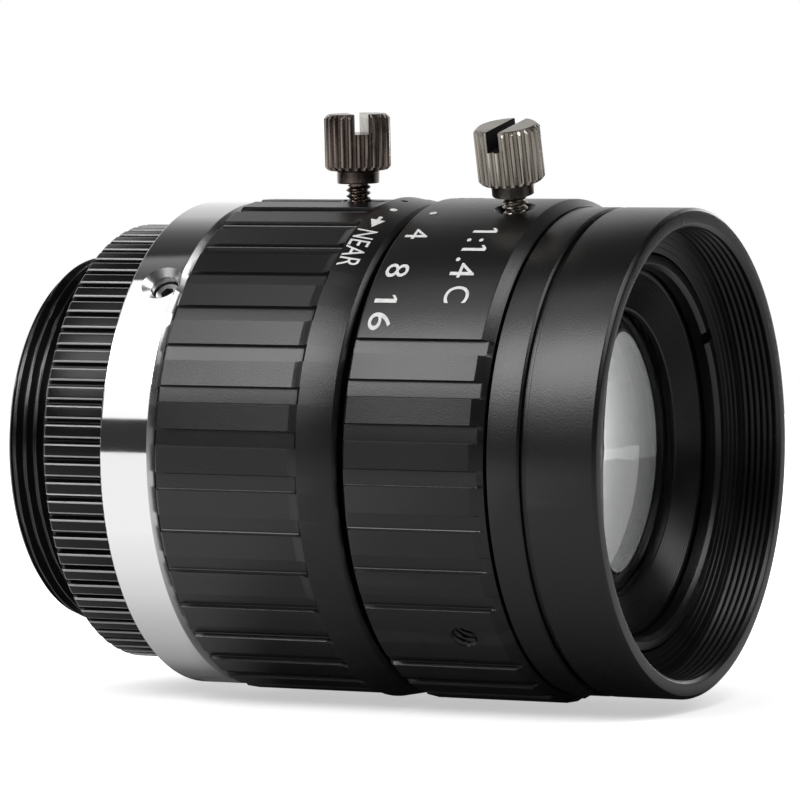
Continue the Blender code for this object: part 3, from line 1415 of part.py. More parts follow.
def make_lock_screw(name, x, angle, ring_radius, bore_radius, slot_turn, material):
    """Thumb screw with a fluted head, a slot across it, a collar and a thin shank."""
    collar_from = LOCK_COLLAR_GAP
    head_from = collar_from + LOCK_COLLAR_LENGTH
    head_to = head_from + LOCK_HEAD_LENGTH
    tip = bore_radius - ring_radius
    flutes = [LOCK_HEAD_RADIUS, LOCK_HEAD_RADIUS - LOCK_FLUTE_DEPTH] * LOCK_FLUTES
    bevelled = [radius - LOCK_HEAD_CHAMFER for radius in flutes]
    head = lofted(
        name,
        [
            (head_from, flutes),
            (head_to - LOCK_HEAD_CHAMFER, flutes),
            (head_to, bevelled),
        ],
        even_angles(2 * LOCK_FLUTES),
        material,
    )
    tip_chamfer = LOCK_SHANK_RADIUS / 4
    shank = turned(
        f"{name}_shank",
        [
            (tip, 0),
            (tip, LOCK_SHANK_RADIUS - tip_chamfer),
            (tip + tip_chamfer, LOCK_SHANK_RADIUS),
            (collar_from, LOCK_SHANK_RADIUS),
            (collar_from, LOCK_COLLAR_RADIUS),
            (head_from + LOCK_HEAD_CHAMFER, LOCK_COLLAR_RADIUS),
            (head_from + LOCK_HEAD_CHAMFER, 0),
        ],
        SCREW_SIDES,
        closed=False,
    )
    half = LOCK_SLOT_WIDTH / 2
    reach = LOCK_HEAD_RADIUS + CUT_OVERRUN
    slot = prism(
        f"{name}_slot",
        [(-half, -reach), (half, -reach), (half, reach), (-half, reach)],
        head_to - LOCK_SLOT_DEPTH,
        head_to + CUT_OVERRUN,
    )
    shape_with(head, shank, "UNION")
    shape_with(head, slot)
    for piece in (head, shank, slot):
        stand_outward(piece, x, ring_radius, angle, slot_turn)


def make_lock_screws():
    """One screw on the focus ring and one on the iris ring."""
    make_lock_screw(
        "focus_lock_screw",
        FOCUS_LOCK_X,
        FOCUS_LOCK_ANGLE,
        FOCUS_RING_RADIUS,
        FOCUS_RING_BORE,
        FOCUS_LOCK_SLOT_TURN,
        blackened_brass("focus_lock_screw"),
    )
    make_lock_screw(
        "iris_lock_screw",
        IRIS_LOCK_X,
        IRIS_LOCK_ANGLE,
        IRIS_RING_RADIUS,
        IRIS_RING_BORE,
        IRIS_LOCK_SLOT_TURN,
        screw_steel("iris_lock_screw"),
    )


def clear_scene():
    """Remove whatever the file holds."""
    for obj in list(bpy.data.objects):
        bpy.data.objects.remove(obj, do_unlink=True)


def make_lens():
    """Build the parts, group by group."""
    make_mount_adapter()
    make_mount_ring()
    make_mount_grub_screws()
    make_fixed_barrel()
    make_guide_key()
    make_snap_ring()
    make_focus_ring()
    make_focus_stop_screw()
    make_optics_sleeve()
    make_front_cell()
    make_front_glasses()
    make_rear_cell()
    make_rear_glasses()
    make_spacers()
    make_rear_retainer()
    make_front_barrel()
    make_front_retainer()
    make_baffle_ring()
    make_iris_base()
    for index in range(BLADE_COUNT):
        make_iris_blade(index)
    make_iris_cam_ring()
    make_iris_drive_pin()
    make_iris_ring()
    make_lock_screws()


clear_scene()
make_lens()
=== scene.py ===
import math

import bmesh
import bpy
import numpy as np
from mathutils import Matrix, Vector


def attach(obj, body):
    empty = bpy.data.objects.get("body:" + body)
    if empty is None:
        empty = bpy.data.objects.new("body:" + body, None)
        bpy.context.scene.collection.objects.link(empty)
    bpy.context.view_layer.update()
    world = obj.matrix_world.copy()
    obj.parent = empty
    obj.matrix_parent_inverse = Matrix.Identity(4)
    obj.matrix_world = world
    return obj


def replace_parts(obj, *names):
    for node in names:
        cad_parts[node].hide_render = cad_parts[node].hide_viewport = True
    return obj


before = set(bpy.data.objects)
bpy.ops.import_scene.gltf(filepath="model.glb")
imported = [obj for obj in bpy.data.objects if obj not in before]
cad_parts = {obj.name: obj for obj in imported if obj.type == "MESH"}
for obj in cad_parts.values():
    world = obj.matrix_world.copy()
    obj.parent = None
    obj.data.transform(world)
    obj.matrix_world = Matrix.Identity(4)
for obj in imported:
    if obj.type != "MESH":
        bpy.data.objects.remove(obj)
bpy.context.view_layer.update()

MM = 0.001
TAU = 2 * math.pi


# Places along the axis from the knurled ring's rear face, and radii, in millimetres

X_THREAD = -4.15
X_JOIN = 1.0
X_KNURL = 5.05
X_CHROME = (5.25, 9.28)
X_FOCUS = (9.48, 22.88)
X_IRIS = (23.48, 33.53)
X_FRONT = (33.73, 41.42)
R_THREAD = 12.70
R_KNURL = 15.05
R_CHROME = 16.65
R_FOCUS = 17.05
R_IRIS = 16.98
R_FRONT = 16.43
FOCUS_BORE = 15.15
IRIS_BORE = 14.65
THREAD_PITCH = 25.4 / 32
THREAD_DEPTH = 0.49
SCREW_PITCH = 0.4

# Holes and screws: place along the axis, and angle from the top towards -Y

X_CLAMP = 7.68
CLAMP_ANGLES = [math.radians(47 + 120 * k) for k in range(3)]
X_FOCUS_LOCK = 16.88
FOCUS_LOCK_ANGLE = math.radians(2.8)
X_STOP = 13.88
STOP_ANGLE = math.radians(231)
X_DIMPLE = 20.95
DIMPLE_ANGLE = math.radians(7.0)
X_IRIS_LOCK = 30.28
IRIS_LOCK_ANGLE = math.radians(15)
X_SPARE = 30.13
SPARE_ANGLE = math.radians(133.8)
X_DRIVE_PIN = 25.48
DRIVE_PIN_ANGLE = math.radians(255.46)


# Materials


class Nodes:
    """Short way to build a node tree."""

    def __init__(self, tree):
        self.tree = tree

    def add(self, kind, **settings):
        node = self.tree.nodes.new(kind)
        for key, value in settings.items():
            setattr(node, key, value)
        return node

    def link(self, source, target):
        self.tree.links.new(source, target)

    def place(self, kind="Object"):
        return self.add("ShaderNodeTexCoord").outputs[kind]

    def split(self, vector):
        node = self.add("ShaderNodeSeparateXYZ")
        self.link(vector, node.inputs[0])
        return node.outputs

    def math(self, operation, *values, clamp=False):
        node = self.add("ShaderNodeMath", operation=operation, use_clamp=clamp)
        for slot, value in zip(node.inputs, values):
            if isinstance(value, (int, float)):
                slot.default_value = value
            else:
                self.link(value, slot)
        return node.outputs[0]

    def noise(self, vector, scale, detail=2.0, roughness=0.5):
        node = self.add("ShaderNodeTexNoise")
        node.inputs["Scale"].default_value = scale
        node.inputs["Detail"].default_value = detail
        node.inputs["Roughness"].default_value = roughness
        self.link(vector, node.inputs["Vector"])
        return node.outputs["Fac"]

    def stretch(self, value, low, high, to_low, to_high):
        node = self.add("ShaderNodeMapRange")
        self.link(value, node.inputs["Value"])
        node.inputs["From Min"].default_value = low
        node.inputs["From Max"].default_value = high
        node.inputs["To Min"].default_value = to_low
        node.inputs["To Max"].default_value = to_high
        return node.outputs["Result"]

    def grey_ramp(self, factor, steps):
        """Grey levels at places from 0 to 1; a new ramp has two stops, which come first."""
        node = self.add("ShaderNodeValToRGB")
        self.link(factor, node.inputs["Fac"])
        stops = node.color_ramp.elements
        for k, (place, level) in enumerate(steps):
            stop = stops[k] if k < 2 else stops.new(place)
            stop.position = place
            stop.color = (level, level, level, 1)
        return node.outputs["Color"]

    def rays(self):
        """1 for rays from gloss, and 1 for rays from the camera or through glass."""
        path = self.add("ShaderNodeLightPath").outputs
        direct = self.math("MAXIMUM", path["Is Camera Ray"], path["Is Transmission Ray"])
        return path["Is Glossy Ray"], direct


def new_material(name, colour, metallic, roughness, **sockets):
    material = bpy.data.materials.new(name)
    material.use_nodes = True
    shader = material.node_tree.nodes["Principled BSDF"]
    shader.inputs["Base Color"].default_value = (*colour, 1.0)
    shader.inputs["Metallic"].default_value = metallic
    shader.inputs["Roughness"].default_value = roughness
    for key, value in sockets.items():
        shader.inputs[key.replace("_", " ")].default_value = value
    return material, shader, Nodes(material.node_tree)


def varied_colour(nodes, shader, factor, dark, light):
    mix = nodes.add("ShaderNodeMix", data_type="RGBA")
    mix.inputs["A"].default_value = (*dark, 1.0)
    mix.inputs["B"].default_value = (*light, 1.0)
    nodes.link(factor, mix.inputs["Factor"])
    nodes.link(mix.outputs["Result"], shader.inputs["Base Color"])


def varied_roughness(nodes, shader, noise, low, high, smooth, rough):
    """Roughness that runs from smooth to rough while the noise runs from low to high."""
    nodes.link(nodes.stretch(noise, low, high, smooth, rough), shader.inputs["Roughness"])


def worn_edges(nodes, low, share):
    """0 on plain faces to the share on sharp outer edges."""
    edge = nodes.add("ShaderNodeNewGeometry").outputs["Pointiness"]
    return nodes.stretch(edge, low, 0.62, 0.0, share)


def bump(nodes, shader, height, strength, distance):
    node = nodes.add("ShaderNodeBump")
    node.inputs["Strength"].default_value = strength
    node.inputs["Distance"].default_value = distance
    nodes.link(height, node.inputs["Height"])
    nodes.link(node.outputs["Normal"], shader.inputs["Normal"])


GRAIN_HEIGHT = 0.02 * MM
LATHE_LINE_HEIGHT = 0.01 * MM


def anodised(name, base=0.003, roughness=0.30, level=0.52):
    """Fine blasted black anodising, a little lighter where edges have rubbed."""
    black = (base, base, base * 1.04)
    rubbed = (base * 4.5, base * 4.4, base * 4.3)
    material, shader, nodes = new_material(
        name, black, 0.0, roughness, Specular_IOR_Level=level
    )
    place = nodes.place()
    broad = nodes.noise(place, 90.0, 3.0)
    varied_roughness(nodes, shader, broad, 0.3, 0.7, roughness - 0.03, roughness + 0.03)
    varied_colour(nodes, shader, worn_edges(nodes, 0.53, 0.6), black, rubbed)
    bump(nodes, shader, nodes.noise(place, 9000.0, 2.0, 0.6), 0.5, GRAIN_HEIGHT)
    return material


def turned_metal(name, colour, roughness):
    """Metal with the faint rings that a lathe leaves, and slight smears."""
    material, shader, nodes = new_material(name, colour, 1.0, roughness)
    place = nodes.place()
    along = nodes.add("ShaderNodeCombineXYZ")
    nodes.link(nodes.split(place)["X"], along.inputs["X"])
    rings = nodes.noise(along.outputs[0], 14000.0, 3.0, 0.7)
    smear = nodes.noise(place, 160.0, 4.0, 0.6)
    varied_roughness(nodes, shader, smear, 0.35, 0.75, roughness * 0.8, roughness * 1.5)
    bump(nodes, shader, rings, 0.05, LATHE_LINE_HEIGHT)
    return material


def plated(name, dark, light, roughness):
    """Plated small parts: colour that shifts a little, and wear at the edges."""
    material, shader, nodes = new_material(name, dark, 1.0, roughness)
    place = nodes.place()
    patches = nodes.noise(place, 900.0, 4.0, 0.6)
    worn = worn_edges(nodes, 0.5, 0.7)
    both = nodes.math("MULTIPLY_ADD", patches, 0.55, worn, clamp=True)
    varied_colour(nodes, shader, both, dark, light)
    varied_roughness(nodes, shader, patches, 0.3, 0.7, roughness - 0.05, roughness + 0.10)
    bump(nodes, shader, nodes.noise(place, 6000.0, 3.0, 0.6), 0.10, GRAIN_HEIGHT)
    return material


def dull_black(name, base=0.004, roughness=0.55, level=0.36):
    """Dull black of inner parts, with a fine grain."""
    material, shader, nodes = new_material(
        name, (base, base, base), 0.0, roughness, Specular_IOR_Level=level
    )
    place = nodes.place()
    broad = nodes.noise(place, 250.0, 3.0)
    varied_roughness(nodes, shader, broad, 0.3, 0.7, roughness - 0.08, roughness + 0.08)
    bump(nodes, shader, nodes.noise(place, 5000.0, 2.0, 0.6), 0.12, GRAIN_HEIGHT)
    return material


def paint(name):
    """White filled lettering, slightly uneven."""
    material, shader, nodes = new_material(name, (0.80, 0.80, 0.79), 0.0, 0.55)
    patches = nodes.noise(nodes.place(), 2500.0, 3.0, 0.6)
    shade = nodes.stretch(patches, 0.3, 0.7, 0.0, 1.0)
    varied_colour(nodes, shader, shade, (0.50, 0.50, 0.50), (0.66, 0.66, 0.65))
    return material


def glass(name):
    """Clear optical glass with a few barely rougher patches."""
    material, shader, nodes = new_material(
        name, (0.97, 0.985, 0.98), 0.0, 0.0, Transmission_Weight=1.0, IOR=1.62
    )
    patches = nodes.noise(nodes.place(), 400.0, 3.0)
    varied_roughness(nodes, shader, patches, 0.55, 0.8, 0.0, 0.004)
    return material


BLACK = anodised("black anodised")
BLACK_FRONT = anodised("black anodised front", roughness=0.28)
BLACK_THREAD = anodised("black anodised thread", roughness=0.24)
BLACK_KNURL = anodised("black anodised knurl", roughness=0.27, level=0.20)
# Lighter, glossier anodising for the knurl's land edges: painted highlight lines
PAINTED_EDGE_HIGHLIGHT = anodised("painted edge highlight", base=0.18, level=0.8)
CHROME = turned_metal("bright plating", (0.86, 0.86, 0.87), 0.05)
CUT_CHROME = turned_metal("cut plating", (0.80, 0.80, 0.81), 0.24)
STEEL = plated("plated steel", (0.36, 0.33, 0.29), (0.70, 0.67, 0.62), 0.27)
WORN_STEEL = plated("worn steel", (0.150, 0.135, 0.115), (0.62, 0.57, 0.50), 0.25)
DARK_NICKEL = plated("dark nickel", (0.058, 0.048, 0.042), (0.38, 0.31, 0.27), 0.22)
SCREW_BLACK = plated("blackened screw", (0.10, 0.10, 0.10), (0.5, 0.5, 0.5), 0.3)
DULL = dull_black("dull black")
HOOD_BLACK = dull_black("hood inner black", base=0.003, roughness=0.34, level=0.37)
PAINT = paint("white lettering")
GLASS = glass("clear glass")


# Building pieces


def outward(angle):
    """Straight out of the axis, at an angle counted from the top towards -Y."""
    return Vector((0, -math.sin(angle), math.cos(angle)))


def polar(x, radius, angle):
    """Point in metres at x along the axis, out at a radius and an angle."""
    return (x * MM, -radius * math.sin(angle) * MM, radius * math.cos(angle) * MM)


def even(count):
    """So many angles, evenly round the circle."""
    return np.arange(count) * TAU / count


def row(value, count):
    """A number, or a row of numbers, as a row of so many numbers."""
    return np.broadcast_to(np.asarray(value, float), (count,))


def link(name, verts, faces, material, body, crease=28.0, smooth=True):
    """New piece on its body, shaded smooth up to the crease in degrees."""
    mesh = bpy.data.meshes.new(name)
    mesh.from_pydata(verts, [], faces)
    mesh.validate()
    obj = bpy.data.objects.new(name, mesh)
    bpy.context.scene.collection.objects.link(obj)
    facing = bmesh.new()
    facing.from_mesh(mesh)
    bmesh.ops.recalc_face_normals(facing, faces=facing.faces)
    facing.to_mesh(mesh)
    facing.free()
    if smooth:
        mesh.shade_smooth()
        mesh.set_sharp_from_angle(angle=math.radians(crease))
    mesh.materials.append(material)
    if body:
        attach(obj, body)
    return obj


def grid(sections, angles, closed):
    """Vertices and faces of rings of points; each section is x and a radius, or rows of them."""
    count = len(angles)
    sin = np.sin(angles)
    cos = np.cos(angles)
    rings = []
    for x, radius in sections:
        r = row(radius, count)
        rings.append(np.stack([row(x, count), -r * sin, r * cos], axis=1))
    verts = np.concatenate(rings) * MM
    steps = len(sections) if closed else len(sections) - 1
    i, j = np.meshgrid(np.arange(steps), np.arange(count), indexing="ij")
    i2 = (i + 1) % len(sections)
    j2 = (j + 1) % count
    quads = np.stack([i * count + j, i * count + j2, i2 * count + j2, i2 * count + j], axis=-1)
    faces = quads.reshape(-1, 4).tolist()
    if not closed:
        faces.append(list(range(count)))
        faces.append([(len(sections) - 1) * count + k for k in range(count)])
    return verts.tolist(), faces


def turned(name, profile, material, body, sides):
    """A closed outline of x and radius, turned round the axis."""
    verts, faces = grid(profile, even(sides), True)
    return link(name, verts, faces, material, body)


def rounded(profile, steps):
    """A closed outline of x, radius and rounding, with its corners rounded off."""
    points = [Vector((x, radius)) for x, radius, _ in profile]
    result = []
    for k, here in enumerate(points):
        before = points[k - 1] - here
        after = points[(k + 1) % len(points)] - here
        reach = min(profile[k][2], before.length * 0.45, after.length * 0.45)
        start = here + before.normalized() * reach
        end = here + after.normalized() * reach
        for step in range(steps + 1):
            t = step / steps
            result.append(tuple(start.lerp(here, t).lerp(here.lerp(end, t), t)))
    return result


def soften(sections, reach):
    """A closed row of sections, with every bend between them rounded off a little."""
    count = max(len(np.atleast_1d(radius)) for _, radius in sections)
    points = [np.stack([row(x, count), row(radius, count)]) for x, radius in sections]
    result = []
    for k, here in enumerate(points):
        ends = []
        for other in (points[k - 1], points[(k + 1) % len(points)]):
            leg = other - here
            length = np.maximum(np.hypot(leg[0], leg[1]), 1e-9)
            ends.append(here + leg * (np.minimum(reach, 0.4 * length) / length))
        start, end = ends
        for t in (0.0, 0.5, 1.0):
            first = start + (here - start) * t
            second = here + (end - here) * t
            result.append(tuple(first + (second - first) * t))
    return result


def stand(obj, x, radius, angle, spin=0.0):
    """Turn a piece that was made along +X so that it points straight out of the axis."""
    out = outward(angle)
    side = out.cross(Vector((1, 0, 0)))
    turn = Matrix((out, side, out.cross(side))).transposed()
    turn = (turn @ Matrix.Rotation(spin, 3, "X")).to_4x4()
    obj.matrix_world = Matrix.Translation(polar(x, radius, angle)) @ turn
    return obj


def tool_turned(name, profile, sides=32):
    """A round tool to cut with, along +X until it is stood up."""
    verts, faces = grid(profile, even(sides), False)
    return link(name, verts, faces, BLACK, None)


def tool_box(name, xs, ys, zs):
    """A box to cut with, between two values on each axis."""
    corners = [(x * MM, y * MM, z * MM) for x in xs for y in ys for z in zs]
    sides = [(0, 1, 3, 2), (4, 5, 7, 6), (0, 1, 5, 4), (2, 3, 7, 6), (0, 2, 6, 4), (1, 3, 7, 5)]
    return link(name, corners, sides, BLACK, None, smooth=False)


def settle(obj):
    """Keep the shape that the modifiers give, with its edges marked sharp again."""
    bpy.context.view_layer.update()
    finished = obj.evaluated_get(bpy.context.evaluated_depsgraph_get())
    mesh = bpy.data.meshes.new_from_object(finished)
    mesh.name = obj.name
    obj.modifiers.clear()
    obj.data = mesh
    mesh.shade_smooth()
    mesh.set_sharp_from_angle(angle=math.radians(30))


def cut(obj, *tools):
    """Cut the tools out of a piece that rides on nothing yet, and remove them."""
    for tool in tools:
        modifier = obj.modifiers.new(tool.name, "BOOLEAN")
        modifier.operation = "DIFFERENCE"
        modifier.solver = "EXACT"
        modifier.object = tool
    settle(obj)
    for tool in tools:
        bpy.data.objects.remove(tool)


def true_round(obj, x_holes, angles, rim):
    """Shade a turned ring and the holes round it as truly round, also where they meet.

    The holes, up to the rim's radius, and the faces that lean forward get the second material.
    """
    mesh = obj.data
    row_of_holes = Vector((x_holes * MM, 0, 0))
    normals = [corner.vector.copy() for corner in mesh.corner_normals]
    for side in mesh.polygons:
        lean = side.normal.x
        rise = side.normal.dot(Vector((0, side.center.y, side.center.z)).normalized())
        off = side.center - row_of_holes
        hole = None
        for axis in map(outward, angles):
            along = off.dot(axis)
            if (off - axis * along).length < rim * MM and along > 0:
                hole = axis
        in_hole = hole is not None and rise < 0.95
        if not in_hole and math.hypot(lean, rise) <= 0.999:
            continue
        side.material_index = 1 if in_hole or lean > 0.2 else 0
        for loop in side.loop_indices:
            corner = mesh.vertices[mesh.loops[loop].vertex_index].co
            if in_hole:
                off = corner - row_of_holes
                away = (off - hole * off.dot(hole)).normalized()
                up = side.normal.dot(hole)
                normals[loop] = (hole * up - away * math.sqrt(max(1 - up * up, 0))).normalized()
            else:
                out = Vector((0, corner.y, corner.z)).normalized()
                normals[loop] = Vector((lean, 0, 0)) + out * rise
    mesh.normals_split_custom_set(normals)


def thread_height(x, angle, pitch):
    """0 at a thread's root, a quarter of the pitch wide, to 1 on its crest, an eighth wide."""
    crest, root = 0.125, 0.75
    turn = (x / pitch - angle / TAU) % 1.0
    off = np.abs(turn - 0.5) * 2
    return np.clip((root - off) / (root - crest), 0.0, 1.0)


# Rear: camera thread, knurled ring, bright ring


def make_thread():
    """Male camera thread with its lead chamfer, relief and bore."""
    bore, neck, relief = 10.9, 12.0, R_THREAD - 0.6
    thread_end = -0.72
    relief_from, relief_to, neck_from = -0.66, 0.10, 0.20
    lead_drop, lead_slope = 0.52, 1.05
    steps = 76
    angles = even(256)
    rows = [(X_THREAD, bore), (X_THREAD, bore + 0.8)]
    for step in range(steps + 1):
        x = X_THREAD + (thread_end - X_THREAD) * step / steps
        radius = R_THREAD - THREAD_DEPTH * (1 - thread_height(x, angles, THREAD_PITCH))
        lead = R_THREAD - lead_drop + (x - X_THREAD) * lead_slope
        rows.append((x, np.minimum(radius, lead)))
    rows += [
        (relief_from, relief), (relief_to, relief),
        (neck_from, neck), (X_JOIN, neck), (X_JOIN, bore),
    ]
    verts, faces = grid(rows, angles, True)
    return link("male_thread", verts, faces, BLACK_THREAD, "mount", crease=40)


def make_knurled_ring():
    """Knurled ring with bevelled ends; its grooves run the whole length.

    A lighter, glossier band on each land's rounded edge paints thin highlight lines.
    """
    bore, neck = 12.7, 12.05
    groove_depth = 0.42
    teeth = 72
    pitch = TAU / teeth
    # Half widths of a tooth's land and foot, and the rounding of its edge, over the pitch
    land, foot, round_off = 0.35, 0.46, 0.10
    turns = np.radians([0, 22.5, 45, 67.5, 85])
    arc = land - round_off + round_off * np.sin(turns)
    fall = 0.31 * (1 - np.cos(turns))
    half = np.concatenate([[0.1], arc, [foot - 0.03, foot]])
    dips = np.concatenate([[0.0], fall, [0.90, 0.98]])
    offsets = np.concatenate([[-0.5], -half[::-1], half])
    depths = np.concatenate([[1.0], dips[::-1], dips])
    angles = ((np.arange(teeth)[:, None] + offsets[None, :]) * pitch).ravel()
    outer = R_KNURL - groove_depth * np.tile(depths, teeth)

    def at(drop):
        return np.minimum(outer, R_KNURL - drop)

    rows = [
        (0.0, neck + 0.80), (0.0, at(0.30)), (0.06, at(0.20)), (0.24, at(0.02)), (0.30, outer),
        (4.90, outer), (4.98, at(0.03)), (X_KNURL, at(0.12)), (X_KNURL, bore),
        (X_JOIN, bore), (X_JOIN, neck), (0.2, neck + 0.05),
    ]
    verts, faces = grid(rows, angles, True)
    ring = link("knurled_ring", verts, faces, BLACK_KNURL, "mount")
    ring.data.materials.append(PAINTED_EDGE_HIGHLIGHT)
    # A lighter band on each land's rounded edge near the crest: painted highlight lines
    for side in ring.data.polygons:
        middle = side.center / MM
        turn = (math.atan2(-middle.y, middle.z) / pitch + 0.5) % 1.0 - 0.5
        on_edge = land - round_off < abs(turn) < land - 0.012
        if on_edge and math.hypot(middle.y, middle.z) > R_KNURL - 0.12:
            side.material_index = 1
    return ring


for piece in (make_thread(), make_knurled_ring()):
    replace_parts(piece, "mount_adapter")


def make_bright_ring():
    """Polished ring with three countersunk clamp holes."""
    rear, front = X_CHROME
    bore = 14.35
    rear_bevel, front_bevel = 0.15, 0.38
    hole, countersink = 0.95, 2.45
    outline = [
        (rear, bore), (rear, R_CHROME - rear_bevel), (rear + rear_bevel, R_CHROME),
        (front - front_bevel, R_CHROME), (front, R_CHROME - front_bevel), (front, bore),
    ]
    profile = rounded([(x, radius, 0.05) for x, radius in outline], 4)
    ring = turned("bright_ring", profile, CHROME, None, 256)
    for k, angle in enumerate(CLAMP_ANGLES, 1):
        drill = [(-3.0, hole), (-0.50, hole), (1.0, countersink)]
        tool = tool_turned(f"clamp_hole_tool_{k}", drill, 64)
        cut(ring, stand(tool, X_CLAMP, R_CHROME, angle))
    ring.data.materials.append(CUT_CHROME)
    true_round(ring, X_CLAMP, CLAMP_ANGLES, 1.6)
    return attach(ring, "mount")


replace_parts(make_bright_ring(), "mount_ring")


# Focus ring and iris ring

GRIPS = 36
GRIP_STEP = 360 // GRIPS
FOCUS_TAPER = 0.43
RING_SOFTNESS = 0.045


def grip_circle(first, flat_radius, groove_radius, smooth=()):
    """Angles round a milled ring, and its radius at each, in wide flats and narrow grooves.

    Between the angles of a smooth span there are no grooves.
    """
    half = 1.78
    edge = 0.10
    foot = half + 0.26
    wall = foot + 0.12
    middle = GRIP_STEP / 2
    corners = [
        (-foot, 0.0), (-foot + 0.05, 0.10), (-half - 0.05, 0.88), (-half + edge, 1.0),
        (-0.8, 1.0), (0.8, 1.0),
        (half - edge, 1.0), (half + 0.05, 0.88), (foot - 0.05, 0.10), (foot, 0.0),
        (wall, 0.0), (3.5, 0.0), (middle, 0.0), (6.5, 0.0), (GRIP_STEP - wall, 0.0),
    ]
    angles, radii = [], []
    for index in range(GRIPS):
        for offset, share in corners:
            degrees = first + GRIP_STEP * index + offset
            turn = (degrees + 180) % 360 - 180
            from_middle = min(abs(offset - middle), middle - foot)
            facet = flat_radius / math.cos(math.radians(from_middle))
            radius = facet + (groove_radius - facet) * share
            for low, high in smooth:
                if low <= turn <= high or low <= turn + 360 <= high:
                    radius = flat_radius
            angles.append(math.radians(degrees))
            radii.append(radius)
    return np.array(angles), np.array(radii)


def lock_hole_tool(name, inner, top, outer):
    """Hole for a lock screw, with its mouth dished below the ring's surface."""
    hole = 0.96
    mouth = [(top - 0.20, 1.22), (top - 0.13, 1.32), (outer, 2.3)]
    return tool_turned(name, [(inner, hole), (top - 0.55, hole), *mouth])


def make_focus_ring():
    """Grip with a tapered front, a groove for the snap ring inside, and three holes."""
    rear, front = X_FOCUS
    top, bore = R_FOCUS, FOCUS_BORE
    flat, groove = 16.85, 16.55
    chamfer, front_chamfer = 0.22, 0.30
    grip_end, taper_from = 19.46, 20.20
    snap_from, snap_to, snap_radius = 11.0, 11.86, 15.65
    angles, grip = grip_circle(6.0, flat, groove)
    run_out = np.where(grip < flat - 0.05, grip, flat + 0.10)
    sections = [
        (rear, bore), (rear, np.minimum(grip, flat - chamfer)), (rear + chamfer, grip),
        (grip_end, grip), (grip_end + 0.38, run_out), (taper_from, top),
        (front - front_chamfer, top - FOCUS_TAPER), (front, top - FOCUS_TAPER - front_chamfer),
        (front, bore),
        (snap_to, bore), (snap_to, snap_radius), (snap_from, snap_radius), (snap_from, bore),
    ]
    verts, faces = grid(soften(sections, RING_SOFTNESS), angles, True)
    ring = link("focus_grip", verts, faces, BLACK, None, crease=30)
    hole = lock_hole_tool("focus_lock_hole_tool", 14.2, top, 17.9)
    stand(hole, X_FOCUS_LOCK, 0, FOCUS_LOCK_ANGLE)
    stop = tool_turned("stop_hole_tool", [(14.2, 0.56), (16.7, 0.56), (16.95, 0.66), (18.0, 0.9)])
    stand(stop, X_STOP, 0, STOP_ANGLE)
    dimple = tool_turned("dimple_tool", [(16.45, 0.16), (16.55, 0.24), (17.6, 0.26)], 24)
    stand(dimple, X_DIMPLE, 0, DIMPLE_ANGLE)
    cut(ring, hole, stop, dimple)
    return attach(ring, "focus")


def spare_hole_tool():
    """Threaded hole with a plain mouth."""
    inner, thread_depth, mouth = 0.85, 0.17, 1.06
    around = even(32)
    rows = []
    for step in range(41):
        x = 13.6 + step * 0.085
        ridge = thread_height(x, around, SCREW_PITCH)
        rows.append((x, inner + thread_depth * (1 - ridge)))
    rows += [(R_IRIS + 0.04, mouth), (R_IRIS + 0.92, mouth)]
    verts, faces = grid(rows, around, False)
    return link("spare_hole_tool", verts, faces, BLACK, None)


def make_iris_ring():
    """Grip with two smooth spans for the marks and the spare hole, and three holes."""
    rear, front = X_IRIS
    top, bore = R_IRIS, IRIS_BORE
    chamfer = 0.24
    groove_depth = 0.30
    grip_end, bevel_to, bevel_drop = 32.73, 33.16, 0.262
    marks, spare_place = (-60.5, 62.1), (129.0, 138.6)
    angles, grip = grip_circle(3.8, top, top - groove_depth, smooth=(marks, spare_place))
    sections = [
        (rear, bore), (rear, np.minimum(grip, top - chamfer)), (rear + 0.22, grip),
        (grip_end, grip), (grip_end + 0.09, np.minimum(grip, top - 0.055)),
        (bevel_to, np.minimum(grip, top - bevel_drop)), (front, top - 0.49), (front, bore),
    ]
    verts, faces = grid(soften(sections, RING_SOFTNESS), angles, True)
    ring = link("iris_grip", verts, faces, BLACK, None, crease=30)
    hole = lock_hole_tool("iris_lock_hole_tool", 13.7, top, 17.8)
    stand(hole, X_IRIS_LOCK, 0, IRIS_LOCK_ANGLE)
    spare = stand(spare_hole_tool(), X_SPARE, 0, SPARE_ANGLE)
    pin = tool_turned("drive_pin_hole_tool", [(13.7, 0.44), (16.28, 0.44)], 24)
    stand(pin, X_DRIVE_PIN, 0, DRIVE_PIN_ANGLE)
    cut(ring, hole, spare, pin)
    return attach(ring, "iris")


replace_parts(make_focus_ring(), "focus_ring")
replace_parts(make_iris_ring(), "iris_ring")


# White marks

MARK_LIFT = 0.012
MARK_THICKNESS = 0.012
INDEX_SIZE = 0.52


def wrap(name, outline_mesh, x, degrees, radius, body):
    """Bend a flat mark round the lens: its +X runs with the angle, its +Y to the front."""
    angle = math.radians(degrees)
    verts, faces = [], []
    flat = bmesh.new()
    flat.from_mesh(outline_mesh)
    bmesh.ops.triangulate(flat, faces=flat.faces)
    for depth in (0.0, MARK_THICKNESS):
        for vert in flat.verts:
            turn = angle + vert.co.x / (radius + depth)
            verts.append(polar(x + vert.co.y, radius + depth, turn))
    count = len(flat.verts)
    for face in flat.faces:
        ids = [vert.index for vert in face.verts]
        faces.append([k + count for k in ids])
        faces.append(list(reversed(ids)))
    for edge in flat.edges:
        if len(edge.link_faces) == 1:
            a, b = (vert.index for vert in edge.verts)
            faces.append([a, b, b + count, a + count])
    flat.free()
    mark = link(name, verts, faces, PAINT, body, smooth=False)
    return mark


